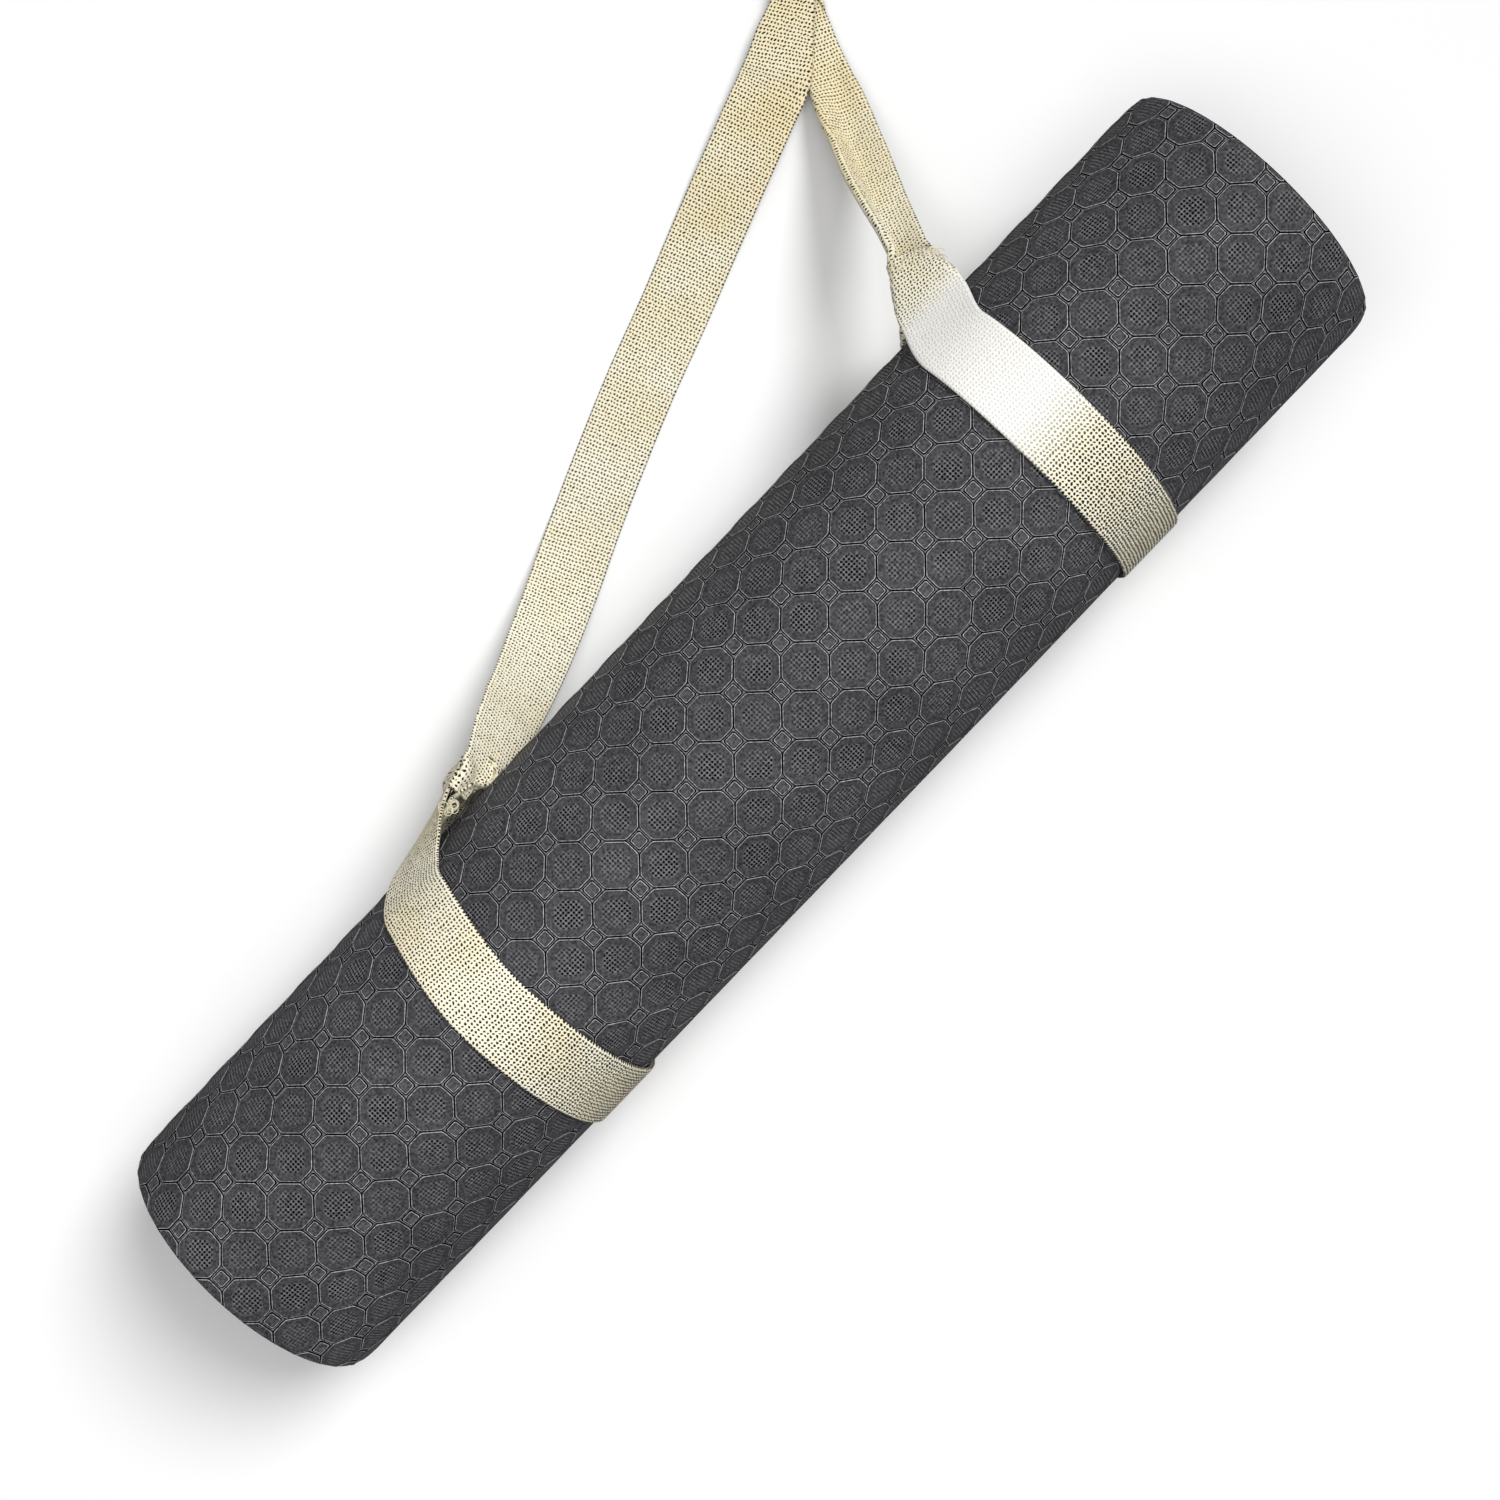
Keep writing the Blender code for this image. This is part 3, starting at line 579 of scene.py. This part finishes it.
# the gap tone is painted shade in the weave's gaps; the pale tone is a painted highlight on the upper band
webbingLook = {"yarn": "#FBF5DE", "warm": "#F3E2B2", "row": "#A89C74", "gap": "#191406", "pale": "#FFFFFD",
               "fibre": 0.00040, "waverPerMetre": 420.0, "waver": 5.0, "cloudsPerMetre": 30.0,
               "cloudGain": 1.5, "cloudLoss": 0.62, "gapSpan": (0.40, 1.25), "rowSpan": (0.3, 1.0),
               "rowMost": 0.12, "gapBump": 1.6, "bump": 0.6, "bumpDepth": 0.0003, "roughness": 0.92,
               "shine": 0.2, "sheen": 0.12}
# the yellower far part, the gaps of painted shade that grow over the roll's near side, and the painted
# highlight on the upper band where it comes over the roll
paintedLightAndTintLook = {"farYellowing": 0.55, "yellowingSlant": 0.4, "yellowingFrom": 0.06, "yellowingOver": 0.13,
            "openedGapShade": 0.7, "gapShadeFrom": -0.075, "gapShadeOver": 0.06,
            "paintedHighlight": 0.8, "highlightFrom": (0.12, -0.102, 0.084), "highlightOver": (0.02, 0.032, 0.012)}
samples = 2 * webbing["ribs"] + 1
acrossShare = np.linspace(-1, 1, samples)[None]  # from the webbing's left edge to its right


def webbingMaterial():
    # matt and a little hairy; the yarn is cream and yellower towards the far end, the gaps carry painted
    # shade and the upper band a painted highlight
    material = bpy.data.materials.new("natural cotton webbing")
    material.use_nodes = True
    tree = material.node_tree
    shader = tree.nodes["Principled BSDF"]
    place = addNode(tree, "ShaderNodeTexCoord").outputs["Object"]
    flat = addNode(tree, "ShaderNodeUVMap", {"uv_map": "flatPlace"})
    axes = addNode(tree, "ShaderNodeSeparateXYZ", {}, {0: flat.outputs[0]})
    farYellowing, openedGapShade, paintedHighlight = (addNode(tree, "ShaderNodeAttribute", {"attribute_name": each}).outputs["Fac"]
                                 for each in ("farYellowing", "openedGapShade", "paintedHighlight"))
    wander = addNode(tree, "ShaderNodeTexNoise", {},
                     {"Vector": place, "Scale": webbingLook["waverPerMetre"], "Detail": 1.0})
    waver = webbingLook["waver"]
    uneven = mathStep(tree, "MULTIPLY_ADD", wander.outputs[0], waver, -waver / 2)
    waves = []
    for axis, pitch in ((0, webbing["width"] / webbing["ribs"]), (1, webbing["stitch"])):
        turned = mathStep(tree, "MULTIPLY_ADD", axes.outputs[axis], 2 * math.pi / pitch, uneven)
        waves.append(mathStep(tree, "COSINE", turned))
    both = mathStep(tree, "ADD", mathStep(tree, "ADD", *waves), openedGapShade)
    # painted shade in the gaps between ribs and stitches; the same gaps dent the bump
    gap = addNode(tree, "ShaderNodeMapRange", {"interpolation_type": "SMOOTHSTEP"},
                  {"Value": both, "From Min": webbingLook["gapSpan"][0],
                   "From Max": webbingLook["gapSpan"][1]}).outputs[0]
    row = addNode(tree, "ShaderNodeMapRange", {"interpolation_type": "SMOOTHSTEP"},
                  {"Value": waves[1], "From Min": webbingLook["rowSpan"][0],
                   "From Max": webbingLook["rowSpan"][1], "To Max": webbingLook["rowMost"]}).outputs[0]
    clouds = addNode(tree, "ShaderNodeTexNoise", {},
                     {"Vector": place, "Scale": webbingLook["cloudsPerMetre"], "Detail": 3.0})
    clouded = mathStep(tree, "MULTIPLY_ADD", clouds.outputs[0], webbingLook["cloudGain"],
                       -webbingLook["cloudLoss"])
    warmth = addNode(tree, "ShaderNodeMath", {"operation": "ADD", "use_clamp": True},
                     {0: clouded, 1: farYellowing}).outputs[0]
    colour = linearColour(webbingLook["yarn"])
    # the gaps get painted shade, and the upper band a painted highlight over everything
    for share, tone in ((warmth, "warm"), (row, "row"), (gap, "gap"), (paintedHighlight, "pale")):
        colour = addNode(tree, "ShaderNodeMix", {"data_type": "RGBA"},
                         {"Factor": share, 6: colour, 7: linearColour(webbingLook[tone])}).outputs[2]
    tree.links.new(colour, shader.inputs["Base Color"])
    fibre = addNode(tree, "ShaderNodeTexNoise", {},
                    {"Vector": place, "Scale": 1 / webbingLook["fibre"], "Detail": 2.0})
    raised = mathStep(tree, "MULTIPLY_ADD", gap, -webbingLook["gapBump"], fibre.outputs[0])
    bump = addNode(tree, "ShaderNodeBump", {},
                   {"Height": raised, "Strength": webbingLook["bump"], "Distance": webbingLook["bumpDepth"]})
    tree.links.new(bump.outputs[0], shader.inputs["Normal"])
    shader.inputs["Roughness"].default_value = webbingLook["roughness"]
    shader.inputs["Specular IOR Level"].default_value = webbingLook["shine"]
    shader.inputs["Sheen Weight"].default_value = webbingLook["sheen"]
    return material


cotton = webbingMaterial()


def paintedLightAndTint(points):
    # the far part is yellower, the weave opens over the roll's near side and its gaps of painted shade grow,
    # and the upper band gets a painted highlight where it comes over the roll
    x, y = points[:, 0], points[:, 1]
    farness = y + paintedLightAndTintLook["yellowingSlant"] * x
    farYellowing = np.clip((farness - paintedLightAndTintLook["yellowingFrom"]) / paintedLightAndTintLook["yellowingOver"], 0, 1)
    openedGapShade = np.clip((paintedLightAndTintLook["gapShadeFrom"] - y) / paintedLightAndTintLook["gapShadeOver"], 0, 1)
    paintedHighlight = smoothStep((points - paintedLightAndTintLook["highlightFrom"]) / paintedLightAndTintLook["highlightOver"]).prod(axis=1)
    shares = {"farYellowing": farYellowing, "openedGapShade": openedGapShade, "paintedHighlight": paintedHighlight}
    return {kind: paintedLightAndTintLook[kind] * share for kind, share in shares.items()}


def throughKnots(knots, spacing):
    # cubic pieces through the knots, over the mean length that the two edges travel
    moves = np.diff(knots, axis=0)
    steps = (np.linalg.norm(moves[:, :3], axis=1) + np.linalg.norm(moves[:, 3:6], axis=1)) / 2
    travelled = np.concatenate([[0], np.cumsum(steps)])
    slopes = np.gradient(knots, travelled, axis=0)
    at = np.linspace(0, travelled[-1], int(travelled[-1] / spacing))
    piece = np.clip(np.searchsorted(travelled, at, side="right") - 1, 0, len(knots) - 2)
    gap = (travelled[piece + 1] - travelled[piece])[:, None]
    t = (at - travelled[piece])[:, None] / gap
    run = (2 * t ** 3 - 3 * t ** 2 + 1) * knots[piece] + (t ** 3 - 2 * t ** 2 + t) * gap * slopes[piece]
    run += (3 * t ** 2 - 2 * t ** 3) * knots[piece + 1] + (t ** 3 - t ** 2) * gap * slopes[piece + 1]
    run[:, 6:] = (1 - t) * knots[piece, 6:] + t * knots[piece + 1, 6:]
    return run, at


def foldedRows(folds, at, seen):
    # the webbing's middle line across each row, walked in equal steps: each step leans with the pleats or
    # the one crease, so that the row gets as narrow as it is seen, and by half a turn beyond each tuck's bend
    tuckLeft, tuckRight, span, crease, creaseAt = (each[:, None] for each in folds.T)
    share = acrossShare
    full = webbing["width"]
    fullness = folding["fullness"] - folding["creaseTakes"] * np.abs(crease)
    narrowed = fullness * seen / (full * (1 - np.abs(tuckLeft) - np.abs(tuckRight)))
    narrowed = np.clip(narrowed, folding["narrowest"], 1)
    # the lean of waves that take up that much of the width
    swing = 2 * np.sqrt(1 - narrowed) * (1 + folding["swingGain"] - folding["swingGain"] * narrowed)
    sway = folding["sway"] * np.sin(at[:, None] * folding["swayPace"])
    lean = (1 - np.abs(crease)) * swing * np.sin(math.pi * folding["pleats"] * share + sway)
    creased = 2 * smoothStep((share - creaseAt) / folding["creaseSpan"] + 0.5) - 1
    lean = lean + crease * np.arccos(narrowed) * creased
    edgeLeft = -1 - span / 2 + 2 * np.abs(tuckLeft) * (1 + span / 4)
    edgeRight = 1 + span / 2 - 2 * np.abs(tuckRight) * (1 + span / 4)
    turnLeft, turnRight = (np.sign(each + folding["leastTuck"]) for each in (tuckLeft, tuckRight))
    lean = lean + math.pi * turnLeft * (1 - smoothStep((share - edgeLeft) / span + 0.5))
    lean = lean - math.pi * turnRight * smoothStep((share - edgeRight) / span + 0.5)
    between = (lean[:, 1:] + lean[:, :-1]) / 2
    wide = np.concatenate([0 * seen, np.cumsum(np.cos(between), 1)], 1) * full / (samples - 1)
    high = np.concatenate([0 * seen, np.cumsum(np.sin(between), 1)], 1) * full / (samples - 1)
    wide -= (wide.max(1, keepdims=True) + wide.min(1, keepdims=True)) / 2
    high -= (high.max(1, keepdims=True) + high.min(1, keepdims=True)) / 2
    return wide, high, lean


def wovenOutline(wide, high, lean):
    # half the thickness to each side of the middle line, less at the edges and in the valleys between ribs,
    # with deeper gaps at every other row of stitches, the ribs in a zigzag, and a rim point at each edge
    inside = 1 - np.abs(acrossShare)
    step = np.arange(len(wide))[:, None]
    shift = webbing["zigzag"] * np.sin(step * math.pi / 2) * smoothStep(inside * webbing["zigzagFade"])
    wide, high = wide + np.cos(lean) * shift, high + np.sin(lean) * shift
    valley = np.arange(samples)[None] % 2 == 0
    dent = np.where(valley, webbing["relief"] + np.where(step % 2 == 0, webbing["dotDepth"], 0.0), 0.0)
    thinned = webbing["edgeShare"] + (1 - webbing["edgeShare"]) * smoothStep(inside * webbing["edgeFade"])
    half = webbing["thickness"] / 2 * thinned - dent
    topWide, topHigh = wide - np.sin(lean) * half, high + np.cos(lean) * half
    lowWide, lowHigh = wide + np.sin(lean) * half, high - np.cos(lean) * half
    ends = np.array((0, samples - 1))
    rim = bothEnds * webbing["rim"]
    rimWide = wide[:, ends] + np.cos(lean[:, ends]) * rim
    rimHigh = high[:, ends] + np.sin(lean[:, ends]) * rim
    loopWide = np.concatenate([topWide, rimWide[:, 1:], lowWide[:, ::-1], rimWide[:, :1]], 1)
    loopHigh = np.concatenate([topHigh, rimHigh[:, 1:], lowHigh[:, ::-1], rimHigh[:, :1]], 1)
    return loopWide, loopHigh


def ribbon(name, knots):
    # knot columns: left edge, right edge; the share tucked away at the left and at the right (behind the
    # face, or in front of it where negative); how much of the width each tuck's bend takes; then how far the
    # webbing makes up for a narrow place with one lengthwise crease instead of pleats (negative: a ridge),
    # and where that crease lies
    run, at = throughKnots(knots, webbing["stitch"] / 2)
    left, right = run[:, :3], run[:, 3:6]
    middle = (left + right) / 2
    seen = np.linalg.norm(right - left, axis=1, keepdims=True)
    heading = unitRows(np.gradient(middle, axis=0))
    outward = unitRows(np.cross((right - left) / seen, heading))
    across = np.cross(heading, outward)
    loopWide, loopHigh = wovenOutline(*foldedRows(run[:, 6:], at, seen))
    points = middle[:, None] + loopWide[..., None] * across[:, None] + loopHigh[..., None] * outward[:, None]
    lowest = points[..., 2].min(1, keepdims=True)
    points[..., 2] += np.maximum(0, webbing["groundGap"] - lowest)  # nothing sinks into the ground
    share = acrossShare[0]
    acrossPlace = (np.concatenate([share, [1.0], share[::-1], [-1.0]]) + 1) * webbing["width"] / 2
    places = np.stack(np.broadcast_arrays(acrossPlace[None], at[:, None]), -1).reshape(-1, 2)
    count = points.shape[1]
    faces = ringFaces(count, len(at)).tolist()
    k = np.arange(samples - 1)
    cap = np.stack([k, k + 1, 2 * samples - k - 1, 2 * samples - k], 1)
    tips = [(samples - 1, samples, samples + 1), (0, count - 1, 2 * samples)]
    for first in (0, (len(at) - 1) * count):
        faces += (cap + first).tolist() + [tuple(first + each for each in tip) for tip in tips]
    piece = newSurface(name, points.reshape(-1, 3), faces, places)
    piece.data.materials.append(cotton)
    for kind, values in paintedLightAndTint(points.reshape(-1, 3)).items():
        writeValues(piece.data, kind, values)
    print(name, "length, mm:", round(at[-1] * 1000), "faces:", len(faces))
    return piece, float(at[-1]), points[:, :samples], outward


plain = (0, 0, 0.22, 0, 0)  # the folds of webbing that lies flat


def handKnots(rows):
    # millimetres from the roll's axis, then how the webbing is folded there, where it isn't plain
    knots = np.array([(*row, *plain[len(row) - 6:]) for row in rows], float)
    knots[:, :6] = knots[:, :6] / 1000 + np.tile(rollAxis, 2)
    return knots


# The nooses. Edges are listed where the webbing leaves the roll, and worked out where it lies on it
halfWebbing = webbing["thickness"] / 2


def bandRadius(angle):
    return rollRadius(angle) + webbing["touchGap"] + halfWebbing


def onBand(x, angle):  # the webbing's two edges where it lies flat on the roll
    middle = rollAxis + np.asarray(x, float)[..., None] * xWay + bandRadius(angle)[..., None] * radial(angle)
    half = webbing["width"] / 2 * xWay
    return np.column_stack([middle - half, middle + half, np.tile(plain, (len(middle), 1))])


def wrapKnots(nooseX, underStart, topX, topEnd):
    # under the roll and up its other side, straight over the sheet's outer edge, and back over the top, where
    # it starts to slant towards its eye; the angles are in degrees
    past = roll["outerEdge"] + np.radians(np.arange(1, 90))
    lip = bandRadius(roll["outerEdge"]) * radial(roll["outerEdge"])
    leans = unitRows(bandRadius(past - 2 * math.pi)[:, None] * radial(past) - lip) @ radial(roll["outerEdge"])
    touch = past[int(np.argmax(leans))] - 2 * math.pi
    knotStep, slantStart, overKnots = 0.06, 95, 40
    under = np.arange(math.radians(underStart), touch, -knotStep)
    over = np.linspace(roll["outerEdge"], math.radians(topEnd), overKnots)
    shares = smoothStep((math.radians(slantStart) - over) / math.radians(slantStart - topEnd))
    return onBand(np.full(len(under), nooseX), under), onBand(nooseX + (topX - nooseX) * shares, over)


# Each row: left edge x y z, right edge x y z, then the folds
lowerStart = handKnots((
    (-95.5, 70.6, 8.0, -87.0, 68.6, 6.0), (-100.5, 70.5, -5.0, -90.0, 68.5, -8.0),
    (-116.0, 68.8, -15.0, -98.0, 65.0, -20.5), (-136.0, 61.0, -24.0, -108.5, 55.6, -34.0),
    (-150.5, 50.7, -41.0, -121.0, 42.9, -48.8), (-156.5, 34.1, -54.6, -125.3, 26.2, -58.8)))
lowerEnd = handKnots((
    (-147.0, 62.0, 22.0, -117.5, 56.0, 35.0), (-134.5, 67.5, 7.5, -113.5, 61.5, 31.0),
    (-122.0, 71.0, -2.5, -107.7, 68.0, 25.5), (-110.0, 74.5, -9.0, -104.0, 71.5, 21.5),
    (-100.5, 77.2, -16.0, -97.5, 75.0, 15.0), (-93.5, 78.0, -23.0, -92.0, 77.2, 8.0),
    (-89.0, 75.5, -27.0, -89.0, 75.0, 4.5), (-88.5, 70.0, -27.0, -88.8, 69.2, 4.5),
    (-91.0, 67.8, -23.0, -90.0, 66.6, 8.0), (-99.0, 70.4, -16.0, -97.0, 69.3, 15.0),
    (-111.0, 70.8, -9.0, -104.5, 68.4, 21.5), (-119.0, 68.5, -1.8, -109.5, 64.4, 27.0)))
upperStart = handKnots((
    (184.5, 79.0, 4.5, 192.0, 75.0, 4.5, 0.35, 0.35, 0.6),
    (181.5, 75.0, -0.5, 192.0, 72.5, -0.5, 0.3, 0.3, 0.5),
    (176.0, 69.3, -7.0, 194.5, 69.0, -7.0, 0.15, 0.15, 0.4),
    (166.5, 61.5, -22.5, 195.0, 61.5, -22.5)))
upperEnd = handKnots((
    (168.0, 64.9, 27.0, 199.6, 64.9, 26.5, 0, 0, 0.3),
    (173.8, 69.5, 22.0, 198.9, 72.0, 20.8, 0.09, 0.10, 0.5),
    (181.0, 79.0, 13.5, 198.0, 78.0, 15.0, 0.22, 0.22, 0.8),
    (186.5, 86.0, 8.0, 197.3, 81.0, 11.0, 0.30, 0.30, 0.9),
    (189.4, 90.5, 4.5, 197.0, 82.5, 8.0, 0.31, 0.31, 0.9)))
# Each band: its place along the roll and the angle where it starts under it, then both where its top ends
wraps = {"Lower": (-0.1415, -76, -0.1368, 40), "Upper": (0.1760, -45, 0.1765, 44)}
nooses = {}
for name, start, end in (("Lower", lowerStart, lowerEnd), ("Upper", upperStart, upperEnd)):
    under, over = wrapKnots(*wraps[name])
    piece, long, face, outward = ribbon("nooseWebbing" + name, np.concatenate([start, under, over, end]))
    nooses[name] = (face, outward)
    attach(piece, "nooses")
    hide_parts("noose_" + name.lower())

# The free stretch for the shoulder: out from the lower eye, over at the far point, back to the upper eye
carryKnots = handKnots((
    (-95.1, 72.9, 19.0, -99.1, 67.9, 11.2, 0.19, 0.49), (-89.0, 74.8, 17.0, -92.6, 68.2, 9.0, 0.13, 0.49),
    (-82.5, 80.0, 9.5, -85.0, 66.2, 1.0, 0, 0.46), (-73.2, 87.0, -2.0, -74.2, 65.2, -13.0, 0, 0.2),
    (-63.0, 91.8, -15.0, -52.5, 72.5, -37.0), (-38.3, 107.0, -40.0, -25.0, 81.5, -53.5),
    (-14.5, 119.5, -54.5, -2.5, 91.3, -61.5), (10.0, 131.4, -62.0, 21.9, 102.3, -63.0),
    (43.1, 145.3, -63.0, 55.2, 116.0, -63.0), (76.7, 158.2, -63.0, 88.2, 128.8, -63.0),
    (110.8, 169.9, -63.0, 122.4, 140.6, -63.0), (144.4, 182.0, -61.5, 154.5, 152.1, -61.5),
    (178.5, 193.7, -58.0, 188.8, 163.9, -58.0), (201.5, 201.5, -56.5, 211.7, 171.7, -56.5),
    (212.7, 205.0, -56.0, 223.2, 175.8, -56.0, 0, 0.02), (229.7, 210.7, -55.5, 245.5, 192.6, -55.5, 0, 0.24),
    (246.9, 216.1, -55.1, 258.0, 204.1, -55.1, 0, 0.47), (258.4, 224.1, -55.1, 269.6, 212.9, -55.1, 0, 0.5),
    (260.7, 226.4, -58.4, 271.9, 215.2, -58.4, 0, 0.5),
    (258.4, 224.1, -61.7, 269.6, 212.9, -61.7, -0.08, 0.42),
    (252.4, 218.0, -61.8, 265.1, 208.4, -61.8, -0.26, 0.24),
    (246.0, 209.5, -61.8, 260.0, 202.2, -61.8, -0.42, 0.08),
    (236.0, 193.8, -61.0, 252.8, 186.5, -61.0, -0.41, 0),
    (228.5, 177.0, -58.5, 245.2, 168.9, -59.5, -0.38, 0, 0.22, -0.3, 0.1),
    (222.7, 166.5, -52.0, 240.0, 157.5, -58.0, -0.3, 0, 0.3, -0.7, 0.1),
    (214.4, 150.5, -41.0, 233.4, 143.0, -50.0, -0.24, 0, 0.3, -1, 0.1),
    (206.0, 134.6, -28.5, 224.2, 125.3, -38.0, -0.24, 0, 0.3, -1, 0.1),
    (199.6, 117.8, -14.5, 213.3, 107.4, -24.5, -0.26, 0, 0.3, -1, 0.1),
    (195.8, 104.5, -6.0, 206.5, 96.5, -13.5, -0.28, 0, 0.3, -1, 0.1),
    (192.0, 94.5, -0.5, 201.5, 87.8, -6.0, -0.30, 0, 0.3, -1, 0.1),
    (188.3, 86.5, 2.5, 196.0, 80.0, 0.5, -0.30, 0.2, 0.3, -0.7, -0.2),
    (184.5, 80.0, 5.0, 192.0, 75.5, 5.0, -0.32, 0.3, 0.3, -0.4, -0.2)))
piece, long = ribbon("carryWebbing", carryKnots)[:2]
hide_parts("carry_strap")
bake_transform(piece)

# The stitching of the eyes
tack = {"threadRadius": 0.00018, "sides": 6, "reach": 4, "zigzags": 9, "pointsEach": 24, "margin": 4,
        "proud": 0.0002, "curlPoints": 48, "scatter": 0.0015, "drift": 1.6, "curlSizes": (1.0, 2.0),
        "curlTurns": (0.9, 1.6), "curlStarts": (0, 6), "curlLift": 0.5, "curlPace": 0.7}
# How far each tack lies from its band's end; then its loose threads: their middle in millimetres from the
# roll's axis, the way they hang, how many there are and how large the least of them is
tackEnds = {"Lower": {"fromEnd": 0.083, "base": (-101.5, 67.5, 24.0), "away": (-0.3, -0.45, 0.3), "count": 8,
                      "small": 0.0011, "seed": 4},
            "Upper": {"fromEnd": 0.006, "base": (198.5, 79.5, 12.5), "away": (0.7, 0.1, 0.2), "count": 10,
                      "small": 0.0014, "seed": 9}}
threadLook = {"light": "#F1EAD2", "shade": "#CFC6A4", "twistPerMetre": 1800.0, "roughness": 0.6}


def threadMaterial():  # smoother and a little brighter than the webbing
    material = bpy.data.materials.new("cotton sewing thread")
    material.use_nodes = True
    tree = material.node_tree
    shader = tree.nodes["Principled BSDF"]
    place = addNode(tree, "ShaderNodeTexCoord").outputs["Object"]
    twist = addNode(tree, "ShaderNodeTexNoise", {}, {"Vector": place, "Scale": threadLook["twistPerMetre"]})
    tone = addNode(tree, "ShaderNodeMix", {"data_type": "RGBA"},
                   {"Factor": twist.outputs[0], 6: linearColour(threadLook["light"]),
                    7: linearColour(threadLook["shade"])})
    tree.links.new(tone.outputs[2], shader.inputs["Base Color"])
    shader.inputs["Roughness"].default_value = threadLook["roughness"]
    return material


def threadTube(lines):  # a thin tube along each line of points, as one set of points and faces
    sides = tack["sides"]
    offWay = (0.31, 0.52, 0.79)  # a direction that no thread runs in
    ring = np.linspace(0, 2 * math.pi, sides + 1)[:-1]
    points, faces, first = [], [], 0
    for line in lines:
        heading = unitRows(np.gradient(line, axis=0))
        aside = unitRows(np.cross(heading, offWay))
        above = np.cross(heading, aside)
        circle = np.cos(ring)[None, :, None] * aside[:, None] + np.sin(ring)[None, :, None] * above[:, None]
        points.append((line[:, None] + tack["threadRadius"] * circle).reshape(-1, 3))
        faces += ringFaces(sides, len(line), first).tolist()
        last = first + sides * (len(line) - 1)
        faces += [list(range(first, first + sides)), list(range(last, last + sides))]
        first = last + sides
    return np.concatenate(points), faces


def tackLines(face, outward, end):
    # a zigzag over the webbing's face at a distance from its end, then curls of loose thread beside the eye
    at = len(face) - round(end["fromEnd"] / webbing["stitch"] * 2)
    t = np.linspace(0, 1, tack["pointsEach"] * tack["zigzags"])
    row = np.rint(at + tack["reach"] * (2 * np.abs((t * tack["zigzags"]) % 2 - 1) - 1)).astype(int)
    column = tack["margin"] + t * (face.shape[1] - 1 - 2 * tack["margin"])
    low = column.astype(int)
    part = (column - low)[:, None]
    lines = [face[row, low] * (1 - part) + face[row, low + 1] * part + tack["proud"] * outward[row]]
    chance = np.random.default_rng(end["seed"])
    for _ in range(end["count"]):
        t = np.linspace(0, 1, tack["curlPoints"])
        size = end["small"] * chance.uniform(*tack["curlSizes"])
        begin = rollAxis + np.array(end["base"]) / 1000 + chance.uniform(-tack["scatter"], tack["scatter"], 3)
        turns = 2 * math.pi * t * chance.uniform(*tack["curlTurns"]) + chance.uniform(*tack["curlStarts"])
        curl = np.stack([np.sin(turns) - math.sin(turns[0]), np.cos(turns) - math.cos(turns[0]),
                         tack["curlLift"] * np.sin(turns * tack["curlPace"]) * t], 1)
        lines.append(begin + size * (curl + tack["drift"] * t[:, None] * np.array(end["away"])))
    return lines


thread = threadMaterial()
for name, end in tackEnds.items():
    points, faces = threadTube(tackLines(*nooses[name], end))
    piece = newSurface("barTackThread" + name, points, faces)
    piece.data.materials.append(thread)
    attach(piece, "nooses")
    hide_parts("bar_tack_" + name.lower())
print("strap and stitching made")

bpy.context.view_layer.update()
